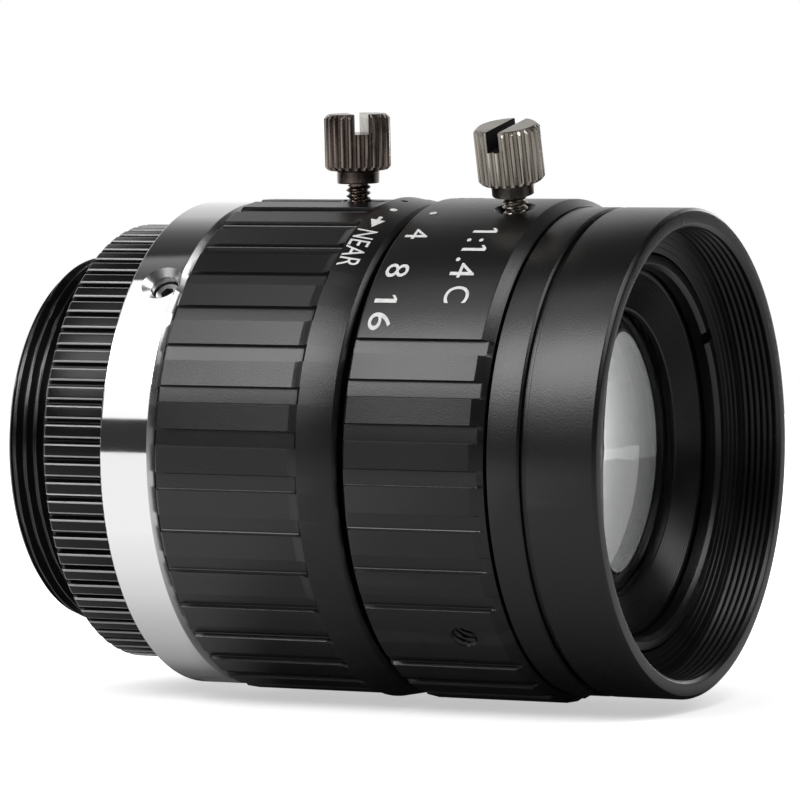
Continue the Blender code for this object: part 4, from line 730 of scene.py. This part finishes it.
def add_flags(mesh, height):
    """The font's figure one is a plain bar, so each tall thin bar gets its slanting flag."""
    flat = bmesh.new()
    flat.from_mesh(mesh)
    left = set(flat.verts)
    bars = []
    while left:
        island, edge_of = set(), [left.pop()]
        while edge_of:
            vert = edge_of.pop()
            island.add(vert)
            near = {edge.other_vert(vert) for edge in vert.link_edges} & left
            left -= near
            edge_of.extend(near)
        xs = [vert.co.x for vert in island]
        ys = [vert.co.y for vert in island]
        if max(ys) - min(ys) > 0.9 * height and max(xs) - min(xs) < 0.25 * height:
            bars.append((min(xs), max(ys)))
    drop = 0.13 * height
    reach = 0.19 * height
    for x, y in bars:
        tip = x - reach
        corners = [(x, y), (tip, y - 1.15 * drop), (tip, y - 2.05 * drop), (x, y - drop)]
        flat.faces.new([flat.verts.new((px, py, 0.0)) for px, py in corners])
    flat.to_mesh(mesh)
    flat.free()


def letters(name, text, x, degrees, height, radius, body, width):
    """A word whose capitals stand from x to x + height, and which starts at this angle."""
    curve = bpy.data.curves.new(name, "FONT")
    curve.body = text
    curve.size = 1.0
    curve.resolution_u = 5
    holder = bpy.data.objects.new(name, curve)
    bpy.context.scene.collection.objects.link(holder)
    bpy.context.view_layer.update()
    written = holder.evaluated_get(bpy.context.evaluated_depsgraph_get())
    mesh = bpy.data.meshes.new_from_object(written)
    bpy.data.objects.remove(holder)
    co = np.array([vert.co[:2] for vert in mesh.vertices])
    low, high = co.min(axis=0), co.max(axis=0)
    wide = width / (high[0] - low[0])
    tall = height / (high[1] - low[1])
    for vert in mesh.vertices:
        vert.co.x = (vert.co.x - low[0]) * wide
        vert.co.y = (vert.co.y - low[1]) * tall
    add_flags(mesh, height)
    return wrap(name, mesh, x, degrees, radius, body)


def spot(name, x, degrees, diameter, radius, body):
    """A round index mark."""
    mesh = bpy.data.meshes.new(name)
    points = [(diameter / 2 * math.cos(a), diameter / 2 * math.sin(a), 0) for a in even(28)]
    mesh.from_pydata(points, [], [list(range(len(points)))])
    return wrap(name, mesh, x, degrees, radius, body)


def arrow(name, x, degrees, length, width, radius, body, back=False):
    """An arrow lying along the circle."""
    head = width * 1.05
    stroke = width * 0.12
    way = -1 if back else 1
    shape = [
        (0, -stroke), (length - head, -stroke), (length - head, -width / 2), (length, 0),
        (length - head, width / 2), (length - head, stroke), (0, stroke),
    ]
    mesh = bpy.data.meshes.new(name)
    mesh.from_pydata([(px * way, py, 0) for px, py in shape], [], [list(range(len(shape)))])
    return wrap(name, mesh, x, degrees, radius, body)


def focus_radius(x):
    """Radius of the focus ring's tapered front at x, with the marks' lift."""
    taper_from, taper_length = 20.22, 2.36
    return R_FOCUS - FOCUS_TAPER * (x - taper_from) / taper_length + MARK_LIFT


def follow_taper(mark, made_at):
    """Let a mark that was made at one radius follow the focus ring's tapered front."""
    for vert in mark.data.vertices:
        factor = focus_radius(vert.co.x / MM) / focus_radius(made_at)
        vert.co.y *= factor
        vert.co.z *= factor


def make_focus_marks():
    """The index, and NEAR and FAR with their arrows."""
    x_index, x_word, x_arrow, x_letters = 21.35, 21.1, 21.15, 20.40
    arrow_length, arrow_width = 1.65, 1.05
    height = 1.42
    index = spot("focus_index", x_index, 15.8, INDEX_SIZE, focus_radius(x_index), "focus")
    follow_taper(index, x_index)
    r = focus_radius(x_word)
    for mark in (
        arrow("focus_arrow_near", x_arrow, 21.0, arrow_length, arrow_width, r, "focus"),
        letters("focus_near", "NEAR", x_letters, 28.2, height, r, "focus", 4.10),
        arrow("focus_arrow_far", x_arrow, -5.5, arrow_length, arrow_width, r, "focus", back=True),
        letters("focus_far", "FAR", x_letters, -22.5, height, r, "focus", 3.1),
    ):
        follow_taper(mark, x_word)


def make_iris_marks():
    """The index, the stops, the ratio, and C and O for the closed and the open iris."""
    r = R_IRIS + MARK_LIFT
    x_index, x_stops, x_ratio, x_limits = 24.80, 24.24, 28.96, 29.20
    stop_height, ratio_height, limit_height = 1.65, 1.78, 1.76
    spot("iris_index", x_index, 19.4, INDEX_SIZE, r, "iris")
    for text, degrees, width in (
        ("1.4", -19.0, 2.5), ("2", -2.0, 1.2), ("4", 28.1, 1.24), ("8", 41.4, 1.24),
        ("16", 51.9, 2.45),
    ):
        name = "iris_mark_" + text.replace(".", "_")
        letters(name, text, x_stops, degrees, stop_height, r, "iris", width)
    letters("iris_ratio", "1:1.4", x_ratio, 28.5, ratio_height, r, "iris", 5.05)
    letters("iris_closed", "C", x_limits, 48.1, limit_height, r, "iris", 1.40)
    letters("iris_open", "O", x_limits, -14.0, limit_height, r, "iris", 1.5)


make_focus_marks()
make_iris_marks()


# Thumb lock screws, in millimetres out from the surface of their ring

HEAD_FROM, HEAD_TO = 1.85, 5.70
HEAD_RADIUS = 2.25
COLLAR_FROM = 0.95
COLLAR_RADIUS = 1.45


def make_lock_head(name, place, spin, material, inside):
    """Fluted head with bevelled ends and a slot, whose walls and floor get the material given as
    inside; dull black there is painted shade in the slot.
    """
    flutes, points_each = 24, 10
    flute_depth = 0.22
    slot_floor, slot_half, slot_reach = HEAD_TO - 1.35, 0.475, 3.2
    count = flutes * points_each
    turn = np.arange(count) / points_each % 1.0
    wave = np.clip((np.abs(turn - 0.5) * 2 - 0.22) / 0.5, 0.0, 1.0)
    outer = HEAD_RADIUS - flute_depth * wave * wave * (3 - 2 * wave)

    def at(drop):
        return np.minimum(outer, HEAD_RADIUS - drop)

    rows = [
        (HEAD_FROM, COLLAR_RADIUS + 0.01), (HEAD_FROM, at(0.29)), (HEAD_FROM + 0.05, at(0.19)),
        (HEAD_FROM + 0.22, at(0.03)), (HEAD_FROM + 0.28, outer), (HEAD_TO - 0.30, outer),
        (HEAD_TO - 0.24, at(0.05)), (HEAD_TO - 0.06, at(0.22)), (HEAD_TO, at(0.32)),
        (HEAD_TO, 0.3),
    ]
    verts, faces = grid(rows, even(count), False)
    head = link(f"{name}_head", verts, faces, material, None, crease=35)
    stand(head, *place, spin)
    slot = tool_box(
        f"{name}_slot_tool", (slot_floor, HEAD_TO + 0.8),
        (-slot_half, slot_half), (-slot_reach, slot_reach),
    )
    cut(head, stand(slot, *place, spin))
    # The slot's walls and floor take the inside material; dull black there is painted shade
    head.data.materials.append(inside)
    for side in head.data.polygons:
        middle = side.center / MM
        wall = abs(side.normal.y) > 0.95 and abs(abs(middle.y) - slot_half) < 0.02
        if wall or (side.normal.x > 0.95 and abs(middle.x - slot_floor) < 0.02):
            side.material_index = 1
    return head


def make_lock_shank(name, place, spin, material, tip):
    """Collar under the head, and a threaded shank with a bevelled tip."""
    crest, thread_depth, neck = 0.85, 0.20, 0.66
    around = even(48)
    rows = [(tip, 0.5)]
    x = tip
    while x < COLLAR_FROM - 0.12:
        thread = crest - thread_depth * (1 - thread_height(x, around, SCREW_PITCH))
        lead = 0.62 + (x - tip) * 0.9
        rows.append((x, np.minimum(thread, lead)))
        x += 0.04
    rows += [
        (COLLAR_FROM - 0.08, neck), (COLLAR_FROM, neck),
        (COLLAR_FROM, COLLAR_RADIUS - 0.09), (COLLAR_FROM + 0.03, COLLAR_RADIUS - 0.03),
        (COLLAR_FROM + 0.10, COLLAR_RADIUS), (HEAD_FROM - 0.12, COLLAR_RADIUS),
        (HEAD_FROM - 0.03, COLLAR_RADIUS + 0.05), (HEAD_FROM + 0.02, COLLAR_RADIUS + 0.11),
    ]
    verts, faces = grid(rows, around, False)
    shank = link(f"{name}_shank", verts, faces, material, None, crease=35)
    return stand(shank, *place, spin)


def make_lock_screw(name, place, bore, spin, material, inside, body):
    """Both pieces of a screw at x, ring radius and angle, which ends just outside the bore."""
    spin = math.radians(spin)
    tip = bore - place[1] + 0.05
    head = make_lock_head(name, place, spin, material, inside)
    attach(head, body)
    shank = make_lock_shank(name, place, spin, material, tip)
    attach(shank, body)
    return head, shank


FOCUS_LOCK = make_lock_screw(
    "focus_lock", (X_FOCUS_LOCK, R_FOCUS, FOCUS_LOCK_ANGLE), FOCUS_BORE, 125,
    DARK_NICKEL, WORN_STEEL, "focus_lock",
)
# Dull black on the iris lock's slot walls and floor is painted shade in the slot
IRIS_LOCK = make_lock_screw(
    "iris_lock", (X_IRIS_LOCK, R_IRIS, IRIS_LOCK_ANGLE), IRIS_BORE, 84,
    WORN_STEEL, DULL, "iris_lock",
)
for pieces, node, finish in (
    (FOCUS_LOCK, "focus_lock_screw", "dark_nickel"),
    (IRIS_LOCK, "iris_lock_screw", "steel_parts"),
):
    for piece in pieces:
        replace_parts(piece, node)


# Front barrel with its hood, retaining ring, baffle and front glass

HOOD_BORE = 15.15
X_SEAT, SEAT_BORE = 35.68, 13.43
SEATED_RADIUS = SEAT_BORE - 0.15


def make_front_barrel():
    """Tube with a groove round it, a filter thread inside its rim, and steps down to the seat."""
    rear, front = X_FRONT
    groove_from, groove_to, groove_radius = 36.02, 36.44, 15.98
    rim_bevel, rim_bore = 0.22, 15.38
    pitch, thread_depth, thread_end = 0.45, 0.12, 38.95
    profile = [
        (rear, IRIS_BORE, 0.05), (rear, R_FRONT, 0.06), (groove_from - 0.16, R_FRONT, 0.03),
        (groove_from - 0.02, R_FRONT - 0.14, 0.03), (groove_from, groove_radius, 0.06),
        (groove_to, groove_radius, 0.06), (groove_to + 0.06, R_FRONT, 0.08),
        (front - rim_bevel, R_FRONT, 0.05), (front, R_FRONT - rim_bevel, 0.05),
        (front, rim_bore, 0.05), (front - (rim_bore - HOOD_BORE), HOOD_BORE, 0.03),
    ]
    x = front - 0.40
    while x > thread_end:
        profile += [
            (x, HOOD_BORE, 0.02), (x - 0.17, HOOD_BORE + thread_depth, 0.03),
            (x - 0.34, HOOD_BORE, 0.02),
        ]
        x -= pitch
    profile += [
        (38.62, HOOD_BORE, 0.03), (38.50, 14.62, 0.03), (38.42, 14.60, 0.02),
        (38.34, 14.22, 0.03), (38.27, 14.20, 0.02), (38.19, 13.84, 0.03), (38.12, 13.82, 0.02),
        (38.04, SEAT_BORE, 0.04), (X_SEAT, SEAT_BORE, 0.02), (X_SEAT, IRIS_BORE, 0.02),
    ]
    tube = turned("front_tube", rounded(profile, 3), BLACK_FRONT, None, 256)
    tube.data.materials.append(HOOD_BLACK)
    for side in tube.data.polygons:
        middle = side.center / MM
        if math.hypot(middle.y, middle.z) < HOOD_BORE + 0.15 and middle.x < front - 0.2:
            side.material_index = 1
    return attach(tube, "optics")


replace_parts(make_front_barrel(), "front_barrel")


def make_retaining_ring():
    """Ring that holds the baffle, with a bevel inside and two spanner notches."""
    rear, front = 37.02, 38.08
    bore, bevel = 12.38, 0.28
    notch_half = 0.45
    profile = [
        (rear, bore, 0.04), (rear, SEATED_RADIUS, 0.04), (front, SEATED_RADIUS, 0.05),
        (front, bore + bevel, 0.05), (front - bevel, bore, 0.05),
    ]
    ring = turned("retaining_ring", rounded(profile, 4), BLACK_FRONT, None, 192)
    for k, degrees in enumerate((126, 306), 1):
        tool = tool_box(
            f"notch_tool_{k}", (front - 0.50, front + 0.52), (-notch_half, notch_half), (11.8, 13.8)
        )
        tool.matrix_world = Matrix.Rotation(math.radians(degrees), 4, "X")
        cut(ring, tool)
    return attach(ring, "optics")


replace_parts(make_retaining_ring(), "front_retainer")


def make_baffle():
    """Ring whose front slopes down to the glass in fine steps."""
    front = 36.82
    inner = 9.60
    first_step, last_step = 12.05, 9.75
    slope, step, riser = 0.32, 0.16, 0.085
    profile = [
        (X_SEAT, inner - 0.05, 0.02), (X_SEAT, SEATED_RADIUS, 0.03),
        (front, SEATED_RADIUS, 0.03), (front, 12.23, 0.03),
    ]
    radius = first_step
    while radius > last_step:
        x = 35.98 + (radius - inner) * slope
        profile += [(x, radius, 0.015), (x - riser, radius - 0.04, 0.015)]
        radius -= step
    profile.append((35.94, inner, 0.02))
    return turned("baffle", rounded(profile, 2), HOOD_BLACK, "optics", 192)


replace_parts(make_baffle(), "baffle_ring")


def face_height(rim, bulge, radius):
    """How far a round glass face stands before its rim at this radius."""
    if not bulge:
        return 0.0
    curve = (rim**2 + bulge**2) / (2 * abs(bulge))
    rise = math.sqrt(curve**2 - radius**2) - math.sqrt(curve**2 - rim**2)
    return math.copysign(rise, bulge)


def make_element(name, node, radius, rear, front, rear_bulge, front_bulge):
    """One lens element, given by the places of its two rims and the bulge of each face."""
    chamfer = 0.08
    rings = 24
    steps = [radius * step / rings for step in range(1, rings + 1)]
    profile = [(rear - face_height(radius, rear_bulge, step), step) for step in steps]
    profile[-1] = (profile[-1][0], radius - chamfer)
    profile += [(rear + chamfer, radius), (front - chamfer, radius), (front, radius - chamfer)]
    for step in reversed(steps[:-1]):
        profile.append((front + face_height(radius, front_bulge, step), step))
    verts, faces = grid(profile, even(128), False)
    element = link(name, verts, faces, GLASS, "optics", crease=30)
    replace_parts(element, node)


make_element("glass_1", "front_element", 10.4, 33.23, 35.13, -0.60, 1.68)
make_element("glass_2", "second_element", 9.6, 29.78, 30.88, -1.04, 2.45)
make_element("glass_3", "third_element", 8.8, 26.78, 29.48, -2.30, 0.65)
make_element("glass_4", "doublet_front_element", 8.2, 16.73, 21.68, -1.38, -2.60)
make_element("glass_5", "doublet_rear_element", 8.2, 16.23, 16.63, 2.26, 1.38)
make_element("glass_6", "sixth_element", 8.6, 11.93, 12.53, 1.59, 0.94)
make_element("glass_7", "rear_element", 8.8, 7.04, 8.52, 0.0, 1.32)


# Finishes of the pieces that keep their CAD shape


def paint_nodes(material, *names):
    for name in names:
        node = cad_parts[name]
        node.data.materials.clear()
        node.data.materials.append(material)


paint_nodes(
    DULL, "fixed_barrel", "optics_sleeve", "front_cell", "rear_cell", "front_spacer",
    "doublet_spacer", "rear_spacer", "rear_retainer", "iris_base", "iris_cam_ring",
)
paint_nodes(DULL, *[f"iris_blade_{k}" for k in range(1, 7)])
paint_nodes(SCREW_BLACK, "focus_stop_screw", *[f"mount_grub_screw_{k}" for k in range(1, 4)])
paint_nodes(STEEL, "guide_key", "snap_ring", "iris_drive_pin")


# Floor, light and camera

MIDDLE = (19.6, 0, 0)
FLOOR_Z = -17.4
FLOOR_REACH = 420.0
FLOOR_GLOW = 0.50
ROOM_FRONT = 0.035
ROOM_ASIDE = 0.03
ROOM_FILL = 0.22

# What gloss mirrors of the floor, a painted shadow of the lens: the distance from the lens over
# FLOOR_FADE, the level near the mount end, and the level under the long black body
FLOOR_FADE = 30.0
MIRRORED_FLOOR_SHADOW = (
    (0.0, 0.03, 0.006), (0.13, 0.13, 0.013), (0.21, 0.32, 0.03), (0.30, 0.45, 0.09),
    (0.40, 0.56, 0.19), (0.52, 0.73, 0.33), (0.68, 0.87, 0.46), (1.0, 1.0, 0.62),
)

# What gloss mirrors of the room behind the lens: height from level to straight up, and level
MIRRORED_ROOM = (
    (0.0, 1.0), (0.12, 0.96), (0.25, 0.86), (0.36, 0.76), (0.47, 0.68), (0.57, 0.57),
    (0.66, 0.31), (0.74, 0.14), (0.80, 0.075), (0.862, 0.035), (0.868, 0.27), (0.890, 0.27),
    (0.896, 0.04), (1.0, 0.03),
)


def distance_from_body(nodes, x, y):
    """How far a spot of the floor is from the strip below the lens, in metres."""
    body_middle, body_half = 18.6 * MM, 18.0 * MM
    past_end = nodes.math(
        "SUBTRACT", nodes.math("ABSOLUTE", nodes.math("SUBTRACT", x, body_middle)), body_half
    )
    offset = nodes.add("ShaderNodeCombineXYZ")
    nodes.link(nodes.math("MAXIMUM", past_end, 0.0), offset.inputs["X"])
    nodes.link(y, offset.inputs["Y"])
    length = nodes.add("ShaderNodeVectorMath", operation="LENGTH")
    nodes.link(offset.outputs[0], length.inputs[0])
    return length.outputs["Value"]


def floor_paper():
    """White paper that glows, less so close to the lens, where its shadow stays.

    Gloss sees no lit paper but a painted shadow, darkest right under the lens.
    """
    material, shader, nodes = new_material(
        "floor paper", (0.8, 0.8, 0.8), 0.0, 0.9, Specular_IOR_Level=0.0
    )
    spot_at = nodes.split(nodes.place())
    away = distance_from_body(nodes, spot_at["X"], spot_at["Y"])
    share = nodes.stretch(away, 0.0, FLOOR_FADE * MM, 0.0, 1.0)
    # Painted shadow for gloss: darkest under the lens, darker under the black body than near the
    # mount
    at_mount, at_body = (
        nodes.grey_ramp(share, [(step[0], step[column]) for step in MIRRORED_FLOOR_SHADOW])
        for column in (1, 2)
    )
    under = nodes.stretch(spot_at["X"], 6 * MM, 12 * MM, 0.0, 1.0)
    near_mount = nodes.math("MULTIPLY", at_mount, nodes.math("SUBTRACT", 1.0, under))
    paper = nodes.math("ADD", near_mount, nodes.math("MULTIPLY", at_body, under))
    glossy, direct = nodes.rays()
    fade = nodes.stretch(away, 4 * MM, 75 * MM, FLOOR_GLOW, 1.0)
    glow = nodes.math("MULTIPLY", direct, fade)
    mirrored = nodes.math("MULTIPLY", glossy, paper)
    shader.inputs["Emission Color"].default_value = (1, 1, 1, 1)
    nodes.link(nodes.math("ADD", glow, mirrored), shader.inputs["Emission Strength"])
    # Black base for gloss rays, so that gloss sees only the painted shadow and not the lit paper
    white = nodes.math("MULTIPLY", nodes.math("SUBTRACT", 1.0, glossy), 0.82)
    nodes.link(white, shader.inputs["Base Color"])
    return material


def make_floor():
    """Disc of paper under the lens."""
    mesh = bpy.data.meshes.new("floor")
    points = [
        ((MIDDLE[0] + FLOOR_REACH * math.cos(a)) * MM, FLOOR_REACH * math.sin(a) * MM, FLOOR_Z * MM)
        for a in even(96)
    ]
    mesh.from_pydata(points, [], [list(range(len(points)))])
    mesh.materials.append(floor_paper())
    floor = bpy.data.objects.new("floor", mesh)
    bpy.context.scene.collection.objects.link(floor)


def make_world():
    """White for the camera, dim as a light; gloss mirrors a bright wall behind the lens.

    The wall fades upwards and beyond the front glass, and the room in front is dark.
    """
    world = bpy.data.worlds.new("studio")
    bpy.context.scene.world = world
    world.use_nodes = True
    nodes = Nodes(world.node_tree)
    background = world.node_tree.nodes["Background"]
    way = nodes.split(nodes.place("Generated"))
    wall = nodes.grey_ramp(way["Z"], MIRRORED_ROOM)
    behind = nodes.stretch(way["Y"], -0.12, 0.22, 0.0, 1.0)
    aside = nodes.stretch(way["X"], 0.22, 0.27, 1.0, ROOM_ASIDE)
    back = nodes.math("MULTIPLY", nodes.math("MULTIPLY", wall, aside), behind)
    front = nodes.math("MULTIPLY", nodes.math("SUBTRACT", 1.0, behind), ROOM_FRONT)
    mirrored = nodes.math("ADD", back, front)
    glossy, direct = nodes.rays()
    lit = nodes.math("MULTIPLY", nodes.math("SUBTRACT", 1.0, glossy), ROOM_FILL)
    indirect = nodes.math("ADD", nodes.math("MULTIPLY", glossy, mirrored), lit)
    nodes.link(nodes.math("MAXIMUM", indirect, direct), background.inputs["Strength"])
    background.inputs["Color"].default_value = (1, 1, 1, 1)


make_floor()
make_world()


def area(name, place, target, width, height, power):
    """Rectangular lamp that the camera doesn't see."""
    data = bpy.data.lights.new(name, "AREA")
    data.shape = "RECTANGLE"
    data.size = width * MM
    data.size_y = height * MM
    data.energy = power
    lamp = bpy.data.objects.new(name, data)
    bpy.context.scene.collection.objects.link(lamp)
    lamp.location = Vector(place) * MM
    aim = (Vector(target) - Vector(place)).normalized()
    lamp.rotation_euler = aim.to_track_quat("-Z", "Y").to_euler()
    lamp.visible_camera = False


def from_lens(direction, distance):
    """A place that far from the middle of the lens."""
    return Vector(MIDDLE) + Vector(direction).normalized() * distance


area("softbox", (-152, -304, 284), (-152, 0, 0), 380, 215, 1.32)
area("softbox_edge", (-205, -276, 313), (-205, 0, 0), 300, 600, 0.64)
area("top_light", (238, -80, 420), (238, -80, 0), 125, 250, 0.57)
area("side_light", from_lens((0.76, -0.03, 0.65), 430), MIDDLE, 200, 210, 0.38)
area("back_light", from_lens((0.02, 0.99, 0.12), 450), MIDDLE, 120, 260, 0.30)

AZIMUTH = math.radians(25.76)
ELEVATION = math.radians(2.56)
CAMERA_AIM = Vector((19.61, 0, 3.17))
CAMERA_DISTANCE = 400
PHOTO_PIXELS = 800
FOCAL_PIXELS = 5850.63
SENSOR = 36.0


def make_camera():
    """The photograph's camera."""
    level = math.cos(ELEVATION)
    from_aim = Vector(
        (math.sin(AZIMUTH) * level, -math.cos(AZIMUTH) * level, math.sin(ELEVATION))
    )
    data = bpy.data.cameras.new("camera")
    data.sensor_width = SENSOR
    data.lens = FOCAL_PIXELS / PHOTO_PIXELS * SENSOR
    data.clip_start = 0.01
    data.clip_end = 10.0
    camera = bpy.data.objects.new("camera", data)
    bpy.context.scene.collection.objects.link(camera)
    camera.location = (CAMERA_AIM + from_aim * CAMERA_DISTANCE) * MM
    camera.rotation_euler = from_aim.to_track_quat("Z", "Y").to_euler()
    bpy.context.scene.camera = camera


make_camera()
bpy.context.scene.view_settings.view_transform = "Standard"
